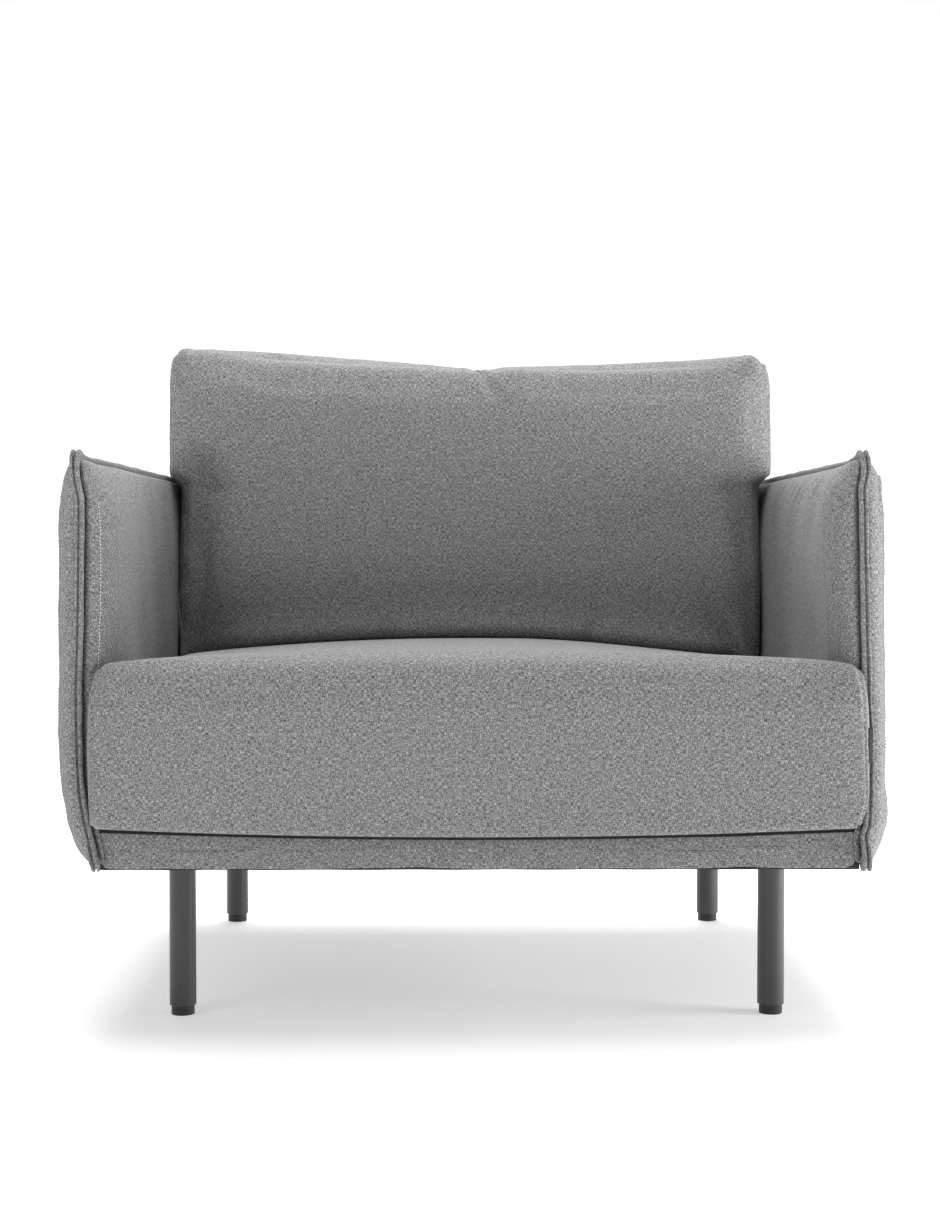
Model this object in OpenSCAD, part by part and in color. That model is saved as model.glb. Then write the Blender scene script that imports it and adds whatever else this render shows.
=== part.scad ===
// Upholstered armchair: thin padded arm and back panels bolted to a webbed base box on tube legs,
// with a loose seat cushion and a loose back cushion.
// Millimetres, +Z up, front at -Y, +X to the right for someone who faces the chair.
// The origin is on the floor, under the middle of the chair.

/* [Overall size] */
// Width over the fullest points of the two arms
chair_width = 950; // [780:5:1200]
// Depth from the seat cushion's front face to the rear seam of the arms
chair_depth = 890; // [740:5:1100]
// Height of the base's underside above the floor
leg_height = 200; // [120:5:300]

/* [Arm and back panels] */
// Height of the arm panels, from their lower seam to their upper seam
panel_h = 467; // [390:1:600]
// Thickness of an arm panel at its fullest
arm_thick = 70; // [56:1:110]
// Thickness of the back panel at its fullest
back_thick = 65; // [52:1:100]
// Thickness of the plywood board in each panel
board_thick = 22; // [12:1:28]
// How far each board's edge stays inside the panel's seam
board_inset = 26; // [18:1:28]
// Width of the sewn flange that joins the two halves of a panel cover
flange_w = 8; // [5:0.5:12]
// Thickness of the sewn flange
flange_t = 3; // [2:0.5:4]
// Thickness of the cover fabric
fabric_t = 1.5; // [1:0.1:2]
// Distance from the seam to the panel's rounded shoulder
shoulder_inset = 12; // [8:1:20]
// How much lower the shoulder is than the panel's fullest height
shoulder_drop = 13; // [8:1:16]
// Distance from the seam to the flat middle of the panel
crown_inset = 50; // [35:1:80]
// Corner radius of the panels, seen from the side
panel_corner_r = 14; // [8:1:30]

/* [Base frame] */
// Height of the base rails
rail_h = 46; // [38:1:70]
// Thickness of the base rails
rail_t = 30; // [20:1:40]
// How far the base's front stands behind the arms' front seam
base_setback = 13; // [5:1:30]
// Width of the two boards that carry the legs
cross_board_w = 100; // [84:1:140]
// Thickness of the two boards that carry the legs
cross_board_t = 22; // [18:1:24]
// Side length of the glued corner blocks
corner_block = 80; // [50:1:100]
// Width of a webbing strap
strap_w = 60; // [40:1:80]
// Thickness of a webbing strap
strap_t = 1.5; // [1:0.1:2.5]
// Number of webbing straps each way
strap_count = 6; // [4:1:8]
// Thickness of the deck cloth and of the dust cover
cloth_t = 1; // [0.6:0.1:1.5]

/* [Legs] */
// Outer diameter of the leg tube
leg_d = 32; // [24:1:50]
// Wall of the leg tube
leg_wall = 2; // [1.5:0.1:3]
// Distance from the chair's side to the middle of a leg
leg_inset_x = 121; // [105:1:160]
// Distance from the chair's front to the middle of a front leg
leg_inset_front = 199; // [120:1:240]
// Distance from the chair's rear to the middle of a rear leg
leg_inset_rear = 112; // [100:1:130]
// Side length of the plate on top of a leg
plate_w = 80; // [64:1:96]
// Thickness of the plate on top of a leg
plate_t = 4; // [3:0.5:6]
// Height of the glide under a leg
glide_h = 11.5; // [6:0.5:20]
// Length of the wood screws in the leg plates
leg_screw_len = 20; // [14:1:21]

/* [Frame bolts] */
// Diameter of the bolts that hold the panels
bolt_d = 8; // [6:1:10]
// Length of those bolts under the head
bolt_len = 48; // [46:1:54]
// Spacing of the bolts along a rail
bolt_pitch = 120; // [80:5:130]

/* [Cushions] */
// Thickness of the seat cushion at its side edge
seat_thick = 168; // [130:1:220]
// How much the seat's middle stands above its side edge
seat_crown = 24; // [10:1:40]
// Thickness of the soft layer on top of the seat foam
topper_t = 35; // [20:1:50]
// How far the seat cushion's front stands proud of the arms' front seam
seat_overhang = 30; // [24:1:50]
// Radius of the seat cushion's front upper edge
waterfall_r = 45; // [20:1:70]
// Height of the back cushion above the seat
back_cushion_h = 400; // [320:1:500]
// Thickness of the back cushion at its foot
back_foot_t = 240; // [200:1:300]
// How much thinner the back cushion is at its head than at its foot
back_lean = 54; // [20:1:80]
// How far the back cushion's head stands out over the arms on each side
back_flare = 28; // [10:1:50]
// Room between a cushion's side and the arm beside it
side_gap = 3; // [1:0.5:8]
// Room between a cushion and the back panel behind it
rear_gap = 11; // [8:1:20]
// Room between pieces that rest on each other but lift apart
rest_gap = 0.3; // [0.3:0.1:1]
// Length of the zips
zip_len = 600; // [400:10:640]

/* [Hidden] */
$fn = 64;
HULL_FN = 32;
CROWN_FN = 360;
EPS = 0.02;

// Panels: where their seams, boards and skins lie.
half_w = chair_width / 2;
half_d = chair_depth / 2;
seam_x = half_w - arm_thick / 2;
seam_front = -half_d + seat_overhang;
seam_rear = half_d;
seam_top = leg_height + panel_h;
arm_in = seam_x - arm_thick / 2;
board_in = seam_x - board_thick / 2;
skin_in = board_in - fabric_t;
back_rear_inset = 3;
back_seam_y = half_d - back_rear_inset - back_thick / 2;
back_front = back_seam_y - back_thick / 2;
back_board_front = back_seam_y - board_thick / 2;
back_half_w = skin_in - 3;

// Base box between the arms, in front of the back panel.
base_half = skin_in;
base_front = seam_front + base_setback;
base_rear = back_board_front - fabric_t;
rail_front_y = base_front + fabric_t;
rail_inner_front = rail_front_y + rail_t;
rail_inner_rear = base_rear - rail_t;
rail_top = leg_height + rail_h;
deck_top = rail_top + 2 * strap_t + cloth_t;
pad_bottom = deck_top + 2;
pad_rear = back_front - 5;
flap = 14;

// Legs.
leg_x = half_w - leg_inset_x;
leg_y = [-half_d + leg_inset_front, half_d - leg_inset_rear];
leg_r = leg_d / 2;
tube_top = leg_height - plate_t;
plug_gap = 0.1;
screw_d = 5;
screw_head_d = 9;
screw_head_h = 2.5;
screw_at = plate_w / 2 - 12;

// Bolts: under the deck, above the boards that carry the legs.
bolt_z = rail_top - 11;
bolt_hole_d = bolt_d + 1;
head_d = bolt_d + 5;
head_h = 6;
washer_d = head_d + 2;
washer_t = 1.5;
nut_d = bolt_d + 4;
nut_len = 16;
free_y0 = leg_y[0] + cross_board_w / 2;
free_y1 = rail_inner_rear - cross_board_w;
arm_bolt_y = [for (i = [-1:1]) (free_y0 + free_y1) / 2 + i * bolt_pitch];
back_bolt_x = [for (i = [-1.5:1:1.5]) i * bolt_pitch];

// Seat cushion.
seat_half = arm_in - side_gap;
seat_front = -half_d;
seat_rear = back_front - rear_gap - 3;
seat_bottom = deck_top + rest_gap;
seat_edge = seat_bottom + seat_thick;
seat_top = seat_edge + seat_crown;
seat_nose = seam_x - 9;
nose_r = 14;
crown_rx = (pow(seat_half, 2) + pow(seat_crown, 2)) / (2 * seat_crown);
crest_y = -half_d / 4;
crest_drop = 11;
crown_ry = (pow(crest_y - seat_front, 2) + pow(crest_drop, 2)) / (2 * crest_drop);
waterfall_top = seat_top - pow(crest_y - seat_front - waterfall_r, 2) / (2 * crown_ry);
seat_core_top = seat_edge - topper_t;
tag_w = 8;
tag_h = 39;
tag_t = 1.2;
tag_z = seat_bottom + 72;

// Back cushion.
cushion_bottom = seat_top + 2;
cushion_top = cushion_bottom + back_cushion_h;
cushion_rear = back_front - rear_gap;
cushion_face = cushion_rear - back_foot_t;
foot_r = 45;
heel_r = 40;
head_r = 75;
nape_r = 70;
side_r = 35;
baffle_t = 1;
flare_z = max(seam_top, cushion_bottom) + 2;

// Zips: chain and tape in a slit, slider outside it.
slit_h = 8;
tape_t = 1;
chain_h = 4;
chain_t = 1.6;
slider_len = 12;
slider_h = 9;
slider_t = 2.4;
slider_gap = 0.3;
pull_len = 24;
seat_zip_z = (seat_bottom + seat_edge) / 2;
back_zip_z = cushion_bottom + 90;

// Colours.
FABRIC = [0.53, 0.53, 0.54];
FOAM = [0.93, 0.90, 0.78];
WOOD = [0.80, 0.65, 0.45];
BLACK = [0.08, 0.08, 0.08];
STEEL = [0.72, 0.73, 0.75];
COAT = [0.22, 0.22, 0.23];

// A box given by its lowest and highest corners.
module block(lo, hi) {
    translate(lo)
        cube(hi - lo);
}

// A flat rectangle with round corners, from its lower to its upper corner.
module round_rect(lo, hi, r) {
    translate([lo.x + r, lo.y])
        square([hi.x - lo.x - 2 * r, hi.y - lo.y]);
    translate([lo.x, lo.y + r])
        square([hi.x - lo.x, hi.y - lo.y - 2 * r]);
    for (x = [lo.x + r, hi.x - r], y = [lo.y + r, hi.y - r])
        translate([x, y])
            circle(r);
}

// What to take from a flat corner at p to round it; turn counts quarter turns from the upper right.
module corner_cut(p, r, turn) {
    translate(p)
        rotate(90 * turn)
            difference() {
                translate([-r, -r])
                    square(r + 1);
                translate([-r, -r])
                    circle(r);
            }
}

// Turns a flat (y, z) drawing into a slab from x0 to x1.
module slab_x(x0, x1) {
    translate([x0, 0, 0])
        rotate([90, 0, 90])
            linear_extrude(x1 - x0)
                children();
}

// Turns a flat (x, z) drawing into a slab from y0 to y1.
module slab_y(y0, y1) {
    translate([0, y1, 0])
        rotate([90, 0, 0])
            linear_extrude(y1 - y0)
                children();
}

// Keeps the right-hand side as drawn, or mirrors it to the left.
module on_side(side) {
    if (side < 0)
        mirror([1, 0, 0])
            children();
    else
        children();
}

// ---- Padded panels ----

// One convex half of a padded panel, drawn flat in (u, v) and rising along +Z from base to full.
// lo and hi are its outline's corners, shrink is how far the whole surface is drawn in.
module half_pillow(lo, hi, base, full, shrink) {
    levels = [
        [base, shrink],
        [full - shoulder_drop, shoulder_inset + shrink],
        [full - shrink, crown_inset]
    ];
    hull()
        for (level = levels)
            translate([0, 0, level[0] - (level[0] == base ? 0 : EPS)])
                linear_extrude(EPS)
                    round_rect(
                        lo + [level[1], level[1]], hi - [level[1], level[1]],
                        panel_corner_r, $fn = HULL_FN
                    );
}

// The outline of an arm's outer half, and of its inner half above the base and ahead of the back.
ARM_OUTER = [[seam_front, leg_height], [seam_rear, seam_top]];
ARM_INNER = [[seam_front, pad_bottom], [pad_rear, seam_top]];

// Places a half pillow drawn in (y, z) on the outer or the inner side of the right arm's seam.
module arm_half(outline, outward, shrink) {
    translate([seam_x, 0, 0])
        mirror([outward ? 0 : 1, 0, 0])
            rotate([90, 0, 90])
                half_pillow(
                    outline[0] + [flange_w, outline[0].y == leg_height ? flange_w : 0],
                    outline[1] - [outline[1].x == seam_rear ? flange_w : 0, flange_w],
                    flange_t / 2, arm_thick / 2, shrink
                );
}

module arm_board(side) {
    color(WOOD)
        on_side(side)
            difference() {
                slab_x(board_in, board_in + board_thick)
                    round_rect(
                        ARM_OUTER[0] + [board_inset, board_inset],
                        ARM_OUTER[1] - [board_inset, board_inset], panel_corner_r
                    );
                for (y = arm_bolt_y)
                    translate([board_in, y, bolt_z])
                        rotate([0, 90, 0])
                            cylinder(d = nut_d, h = nut_len);
            }
}

// The room taken by a board, so that pads and covers lie against it.
module arm_board_room() {
    block(
        [board_in, seam_front + board_inset, leg_height + board_inset],
        [board_in + board_thick, seam_rear - board_inset, seam_top - board_inset]
    );
}

module arm_pad(side, outward) {
    color(FOAM)
        on_side(side)
            difference() {
                arm_half(outward ? ARM_OUTER : ARM_INNER, outward, fabric_t + rest_gap);
                arm_board_room();
            }
}

// The flat skin over the whole inner face of an arm board.
module arm_skin() {
    block(
        [skin_in, seam_front + board_inset, leg_height + board_inset],
        [board_in, seam_rear - board_inset, seam_top - board_inset]
    );
}

// The inner half also has the flat skin, below its pad and behind it.
module arm_cover(side, outward) {
    color(FABRIC)
        on_side(side)
            difference() {
                union() {
                    arm_half(outward ? ARM_OUTER : ARM_INNER, outward, 0);
                    if (!outward)
                        arm_skin();
                }
                translate([outward ? -EPS : EPS, 0, 0])
                    arm_half(outward ? ARM_OUTER : ARM_INNER, outward, fabric_t);
                arm_board_room();
                for (y = arm_bolt_y)
                    translate([skin_in - 1, y, bolt_z])
                        rotate([0, 90, 0])
                            cylinder(d = bolt_hole_d, h = fabric_t + 2);
            }
}

// A sewn flange: a flat ring standing around a panel, drawn in its own plane.
module flange_ring(lo, hi) {
    difference() {
        round_rect(lo, hi, 4);
        translate([lo.x + flange_w, lo.y + flange_w])
            square([hi.x - lo.x - 2 * flange_w, hi.y - lo.y - 2 * flange_w]);
    }
}

module arm_flange(side) {
    color(FABRIC)
        on_side(side)
            slab_x(seam_x - flange_t / 2, seam_x + flange_t / 2)
                flange_ring(ARM_OUTER[0], ARM_OUTER[1]);
}

// The back panel's outlines, in (x, z).
BACK_FULL = [[-back_half_w, leg_height], [back_half_w, seam_top]];
BACK_PAD = [[-back_half_w, pad_bottom], [back_half_w, seam_top]];

module back_half(outline, rearward, shrink) {
    translate([0, back_seam_y, 0])
        mirror([0, rearward ? 0 : 1, 0])
            rotate([90, 0, 180])
                half_pillow(
                    outline[0] + [flange_w, outline[0].y == leg_height ? flange_w : 0],
                    outline[1] - [flange_w, flange_w],
                    flange_t / 2, back_thick / 2, shrink
                );
}

module back_board_room() {
    block(
        [-back_half_w + board_inset, back_board_front, leg_height + board_inset],
        [back_half_w - board_inset, back_board_front + board_thick, seam_top - board_inset]
    );
}

module back_board() {
    color(WOOD)
        difference() {
            slab_y(back_board_front, back_board_front + board_thick)
                round_rect(
                    BACK_FULL[0] + [board_inset, board_inset],
                    BACK_FULL[1] - [board_inset, board_inset], panel_corner_r
                );
            for (x = back_bolt_x)
                translate([x, back_board_front, bolt_z])
                    rotate([-90, 0, 0])
                        cylinder(d = nut_d, h = nut_len);
        }
}

module back_pad(rearward) {
    color(FOAM)
        difference() {
            back_half(rearward ? BACK_FULL : BACK_PAD, rearward, fabric_t + rest_gap);
            back_board_room();
        }
}

// The flat skin over the whole front of the back board.
module back_skin() {
    block(
        [-back_half_w + board_inset, base_rear, leg_height + board_inset],
        [back_half_w - board_inset, back_board_front, seam_top - board_inset]
    );
}

// The front half also has the flat skin, below its pad.
module back_cover(rearward) {
    color(FABRIC)
        difference() {
            union() {
                back_half(rearward ? BACK_FULL : BACK_PAD, rearward, 0);
                if (!rearward)
                    back_skin();
            }
            translate([0, rearward ? -EPS : EPS, 0])
                back_half(rearward ? BACK_FULL : BACK_PAD, rearward, fabric_t);
            back_board_room();
            for (x = back_bolt_x)
                translate([x, base_rear - 1, bolt_z])
                    rotate([-90, 0, 0])
                        cylinder(d = bolt_hole_d, h = fabric_t + 2);
        }
}

module back_flange() {
    color(FABRIC)
        slab_y(back_seam_y - flange_t / 2, back_seam_y + flange_t / 2)
            flange_ring(BACK_FULL[0], BACK_FULL[1]);
}

// ---- Base ----

module rail_front() {
    color(WOOD)
        block([-base_half, rail_front_y, leg_height], [base_half, rail_inner_front, rail_top]);
}

module rail_rear() {
    color(WOOD)
        difference() {
            block([-base_half, rail_inner_rear, leg_height], [base_half, base_rear, rail_top]);
            for (x = back_bolt_x)
                translate([x, rail_inner_rear - 1, bolt_z])
                    rotate([-90, 0, 0])
                        cylinder(d = bolt_hole_d, h = rail_t + 2);
            leg_screw_holes();
        }
}

module rail_side(side) {
    color(WOOD)
        on_side(side)
            difference() {
                block(
                    [base_half - rail_t, rail_inner_front, leg_height],
                    [base_half, rail_inner_rear, rail_top]
                );
                for (y = arm_bolt_y)
                    translate([base_half - rail_t - 1, y, bolt_z])
                        rotate([0, 90, 0])
                            cylinder(d = bolt_hole_d, h = rail_t + 2);
            }
}

module cross_board(y0) {
    color(WOOD)
        difference() {
            block(
                [-base_half + rail_t, y0, leg_height],
                [base_half - rail_t, y0 + cross_board_w, leg_height + cross_board_t]
            );
            leg_screw_holes();
        }
}

module center_rail() {
    color(WOOD)
        block(
            [-rail_t / 2, rail_inner_front, leg_height + cross_board_t],
            [rail_t / 2, rail_inner_rear, rail_top]
        );
}

module corner_blocks() {
    color(WOOD)
        for (sx = [-1, 1], sy = [-1, 1])
            translate([
                sx * (base_half - rail_t), sy < 0 ? rail_inner_front : rail_inner_rear,
                leg_height + cross_board_t
            ])
                linear_extrude(rail_h - cross_board_t)
                    polygon([[0, 0], [-sx * corner_block, 0], [0, -sy * corner_block]]);
}

// Straps rest on the rails by this much at each end, clear of the fabric band's upper flap.
strap_hold = rail_inner_front - base_front - flap - 1;

module webbing_lengthwise() {
    span = 2 * (base_half - rail_t) / strap_count;
    color(BLACK)
        for (i = [0:strap_count - 1])
            translate([-base_half + rail_t + (i + 0.5) * span - strap_w / 2, 0, rail_top])
                block(
                    [0, rail_inner_front - strap_hold, 0],
                    [strap_w, rail_inner_rear + strap_hold, strap_t]
                );
}

module webbing_crosswise() {
    span = (rail_inner_rear - rail_inner_front) / strap_count;
    color(BLACK)
        for (i = [0:strap_count - 1])
            translate([0, rail_inner_front + (i + 0.5) * span - strap_w / 2, rail_top + strap_t])
                block(
                    [-base_half + rail_t - strap_hold, 0, 0],
                    [base_half - rail_t + strap_hold, strap_w, strap_t]
                );
}

module deck_cloth() {
    color(BLACK)
        block(
            [-base_half + 1, base_front + flap, deck_top - cloth_t],
            [base_half - 1, base_rear - 1, deck_top]
        );
}

module dust_cover() {
    color(BLACK)
        difference() {
            block(
                [-base_half + 1, base_front + flap, leg_height - cloth_t],
                [base_half - 1, base_rear - 1, leg_height]
            );
            for (x = [-leg_x, leg_x], y = leg_y)
                block(
                    [x - plate_w / 2 - 1, y - plate_w / 2 - 1, leg_height - cloth_t - 1],
                    [x + plate_w / 2 + 1, y + plate_w / 2 + 1, leg_height + 1]
                );
        }
}

// The fabric band: over the front rail's face and folded in above and below it.
module base_band() {
    color(FABRIC)
        difference() {
            block(
                [-base_half, base_front, leg_height - fabric_t],
                [base_half, base_front + flap, rail_top + fabric_t]
            );
            block(
                [-base_half - 1, rail_front_y, leg_height],
                [base_half + 1, base_front + flap + 1, rail_top]
            );
        }
}

// ---- Legs ----

module leg(x, y) {
    color(COAT)
        translate([x, y, 0])
            difference() {
                union() {
                    translate([0, 0, glide_h])
                        cylinder(r = leg_r, h = tube_top - glide_h);
                    block(
                        [-plate_w / 2, -plate_w / 2, tube_top],
                        [plate_w / 2, plate_w / 2, leg_height]
                    );
                }
                translate([0, 0, glide_h - 1])
                    cylinder(r = leg_r - leg_wall, h = tube_top - glide_h + 1);
                for (sx = [-1, 1], sy = [-1, 1])
                    translate([sx * screw_at, sy * screw_at, tube_top - 1])
                        cylinder(d = screw_d + 0.5, h = plate_t + 2);
            }
}

module glide(x, y) {
    color(BLACK)
        translate([x, y, 0])
            union() {
                cylinder(r1 = leg_r - 3, r2 = leg_r - 2, h = glide_h);
                cylinder(r = leg_r - leg_wall - plug_gap, h = glide_h + 14);
            }
}

// Where the screws of all four leg plates go.
module at_leg_screws() {
    for (x = [-leg_x, leg_x], y = leg_y, sx = [-1, 1], sy = [-1, 1])
        translate([x + sx * screw_at, y + sy * screw_at, 0])
            children();
}

module leg_screw_holes() {
    at_leg_screws()
        translate([0, 0, leg_height - 1])
            cylinder(d = screw_d, h = leg_screw_len - plate_t + 1);
}

module leg_screws() {
    color(STEEL)
        at_leg_screws()
            union() {
                translate([0, 0, tube_top - screw_head_h])
                    cylinder(d = screw_head_d, h = screw_head_h);
                translate([0, 0, tube_top - 1])
                    cylinder(d = screw_d, h = leg_screw_len + 1);
            }
}

// ---- Bolts ----

// Repeats a fastener drawn along +Z, starting on a rail's inner face, at every bolt of the frame.
module at_frame_bolts() {
    for (side = [-1, 1], y = arm_bolt_y)
        translate([side * (base_half - rail_t), y, bolt_z])
            rotate([0, side * 90, 0])
                children();
    for (x = back_bolt_x)
        translate([x, rail_inner_rear, bolt_z])
            rotate([-90, 0, 0])
                children();
}

module frame_bolts() {
    color(STEEL)
        at_frame_bolts()
            union() {
                translate([0, 0, -washer_t - head_h])
                    difference() {
                        cylinder(d = head_d, h = head_h);
                        translate([0, 0, -1])
                            cylinder(d = bolt_d * 0.8, h = head_h - 2, $fn = 6);
                    }
                translate([0, 0, -washer_t - 0.5])
                    cylinder(d = bolt_d, h = bolt_len - washer_t);
            }
}

module frame_washers() {
    color(STEEL)
        at_frame_bolts()
            translate([0, 0, -washer_t])
                difference() {
                    cylinder(d = washer_d, h = washer_t);
                    translate([0, 0, -1])
                        cylinder(d = bolt_d + 0.4, h = washer_t + 2);
                }
}

module insert_nuts() {
    color(STEEL)
        at_frame_bolts()
            translate([0, 0, rail_t + fabric_t])
                difference() {
                    cylinder(d = nut_d, h = nut_len);
                    translate([0, 0, -1])
                        cylinder(d = bolt_d + 0.2, h = nut_len + 2);
                }
}

// ---- Seat cushion ----

// Its outline from above: between the arms, and wider at the nose in front of them.
module seat_plan(shrink) {
    side = seat_half - shrink;
    nose = seat_nose - shrink;
    front = seat_front + shrink;
    r = nose_r - shrink;
    turn = seam_front + crown_inset;
    half = [
        [side, seat_rear - shrink],
        [side, turn],
        [side + 12, turn - 38],
        [nose, turn - 53],
        [nose, front]
    ];
    difference() {
        polygon(concat(half, [for (i = [len(half) - 1:-1:0]) [-half[i].x, half[i].y]]));
        corner_cut([-nose, front], r, 2);
        corner_cut([nose, front], r, 3);
    }
}

// Its outline from the side, before the crown is cut.
module seat_side(shrink) {
    front = seat_front + shrink;
    rear = seat_rear - shrink;
    bottom = seat_bottom + shrink;
    top = seat_top - shrink;
    difference() {
        translate([front, bottom])
            square([rear - front, top - bottom]);
        corner_cut([front, waterfall_top - shrink], waterfall_r - shrink, 1);
        corner_cut([front, bottom], nose_r - shrink, 2);
    }
}

module seat_block(shrink) {
    intersection() {
        translate([0, 0, seat_bottom])
            linear_extrude(seat_top - seat_bottom)
                seat_plan(shrink);
        slab_x(-half_w, half_w)
            seat_side(shrink);
        translate([0, half_d, seat_top - crown_rx])
            rotate([90, 0, 0])
                cylinder(r = crown_rx - shrink, h = chair_depth, $fn = CROWN_FN);
        translate([-half_w, crest_y, seat_top - crown_ry])
            rotate([0, 90, 0])
                cylinder(r = crown_ry - shrink, h = chair_width, $fn = CROWN_FN);
    }
}

// The slit for a zip in a rear face at y, centred at height z.
module zip_slit(y, z) {
    block(
        [-zip_len / 2, y - 2 * fabric_t, z - slit_h / 2],
        [zip_len / 2, y + 1, z + slit_h / 2]
    );
}

module seat_foam() {
    color(FOAM)
        intersection() {
            seat_block(fabric_t);
            block(
                [-half_w, -half_d, seat_bottom],
                [half_w, half_d, seat_core_top]
            );
        }
}

module seat_topper() {
    color("white")
        intersection() {
            seat_block(fabric_t);
            block(
                [-half_w, -half_d, seat_core_top],
                [half_w, half_d, seat_top]
            );
        }
}

module seat_cover() {
    color(FABRIC)
        difference() {
            seat_block(0);
            seat_block(fabric_t);
            zip_slit(seat_rear, seat_zip_z);
        }
}

// Zip tape in its slit with the chain of teeth standing out of it.
module zip(y, z) {
    color(BLACK)
        union() {
            block(
                [-zip_len / 2, y - tape_t, z - slit_h / 2],
                [zip_len / 2, y, z + slit_h / 2]
            );
            block(
                [-zip_len / 2, y - tape_t, z - chain_h / 2],
                [zip_len / 2, y + chain_t, z + chain_h / 2]
            );
        }
}

// Slider body over the chain, with its pull hanging below.
module zip_slider(y, z) {
    inner = chain_h / 2 + slider_gap;
    x0 = -zip_len / 2 + 2;
    color(STEEL)
        translate([x0, y, z])
            union() {
                difference() {
                    block(
                        [0, slider_gap, -slider_h / 2],
                        [slider_len, chain_t + slider_gap + slider_t, slider_h / 2]
                    );
                    block(
                        [-1, -1, -inner],
                        [slider_len + 1, chain_t + slider_gap, inner]
                    );
                }
                block(
                    [slider_len / 2 - 3, chain_t + slider_gap + slider_t - 1.5, -pull_len],
                    [slider_len / 2 + 3, chain_t + slider_gap + slider_t, 0]
                );
            }
}

module seat_zip() {
    zip(seat_rear, seat_zip_z);
}

module seat_zip_slider() {
    zip_slider(seat_rear, seat_zip_z);
}

// A plain folded tag, sewn into the seam at the nose's right-hand corner.
module seat_tag() {
    color(BLACK)
        block(
            [seat_nose, seat_front + nose_r, tag_z],
            [seat_nose + tag_w, seat_front + nose_r + tag_t, tag_z + tag_h]
        );
}

// ---- Back cushion ----

// Its outline from the side: a leaning wedge with a round head.
module cushion_side(shrink) {
    rounds = [
        [cushion_face + foot_r, cushion_bottom + foot_r, foot_r],
        [cushion_rear - heel_r, cushion_bottom + heel_r, heel_r],
        [cushion_face + back_lean + head_r, cushion_top - head_r, head_r],
        [cushion_rear - nape_r, cushion_top - nape_r, nape_r]
    ];
    hull()
        for (c = rounds)
            translate([c[0], c[1]])
                circle(c[2] - shrink, $fn = HULL_FN);
}

// Its outline from the front: between the arms below, standing out over them above.
module cushion_front(shrink) {
    d = [shrink, shrink];
    round_rect([-seat_half, cushion_bottom] + d, [seat_half, cushion_top] - d, side_r - shrink);
    round_rect(
        [-seat_half - back_flare, flare_z] + d, [seat_half + back_flare, cushion_top] - d,
        side_r - shrink
    );
}

module cushion_block(shrink) {
    intersection() {
        slab_x(-half_w, half_w)
            cushion_side(shrink);
        slab_y(-half_d, half_d)
            cushion_front(shrink);
    }
}

// The filling, in a lower chamber between the arms and an upper one that stands out over them.
module back_cushion_fill() {
    color("white")
        difference() {
            cushion_block(fabric_t);
            block([-half_w, -half_d, flare_z], [half_w, half_d, flare_z + fabric_t + baffle_t]);
        }
}

module back_cushion_cover() {
    color(FABRIC)
        difference() {
            cushion_block(0);
            cushion_block(fabric_t);
            zip_slit(cushion_rear, back_zip_z);
        }
}

module back_zip() {
    zip(cushion_rear, back_zip_z);
}

module back_zip_slider() {
    zip_slider(cushion_rear, back_zip_z);
}

rail_front();
rail_rear();
rail_side(-1);  // rail_left
rail_side(1);  // rail_right
center_rail();
cross_board(leg_y[0] - cross_board_w / 2);  // cross_board_front
cross_board(rail_inner_rear - cross_board_w);  // cross_board_rear
corner_blocks();
webbing_lengthwise();
webbing_crosswise();
deck_cloth();
dust_cover();
base_band();
leg(-leg_x, leg_y[0]);  // leg_front_left
leg(leg_x, leg_y[0]);  // leg_front_right
leg(-leg_x, leg_y[1]);  // leg_rear_left
leg(leg_x, leg_y[1]);  // leg_rear_right
glide(-leg_x, leg_y[0]);  // glide_front_left
glide(leg_x, leg_y[0]);  // glide_front_right
glide(-leg_x, leg_y[1]);  // glide_rear_left
glide(leg_x, leg_y[1]);  // glide_rear_right
leg_screws();
frame_bolts();
frame_washers();
insert_nuts();
arm_board(-1);  // arm_board_left
arm_board(1);  // arm_board_right
arm_pad(-1, false);  // arm_pad_inner_left
arm_pad(1, false);  // arm_pad_inner_right
arm_pad(-1, true);  // arm_pad_outer_left
arm_pad(1, true);  // arm_pad_outer_right
arm_cover(-1, false);  // arm_cover_inner_left
arm_cover(1, false);  // arm_cover_inner_right
arm_cover(-1, true);  // arm_cover_outer_left
arm_cover(1, true);  // arm_cover_outer_right
arm_flange(-1);  // arm_flange_left
arm_flange(1);  // arm_flange_right
back_board();
back_pad(false);  // back_pad_front
back_pad(true);  // back_pad_rear
back_cover(false);  // back_cover_front
back_cover(true);  // back_cover_rear
back_flange();
seat_foam();
seat_topper();
seat_cover();
seat_zip();
seat_zip_slider();
seat_tag();
back_cushion_fill();
back_cushion_cover();
back_zip();
back_zip_slider();
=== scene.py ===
"""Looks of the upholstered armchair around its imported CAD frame. Metres, +Z up, front at -Y."""

import math

import bmesh
import bpy
import numpy as np
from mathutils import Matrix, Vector
from mathutils.bvhtree import BVHTree
from mathutils.kdtree import KDTree


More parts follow.
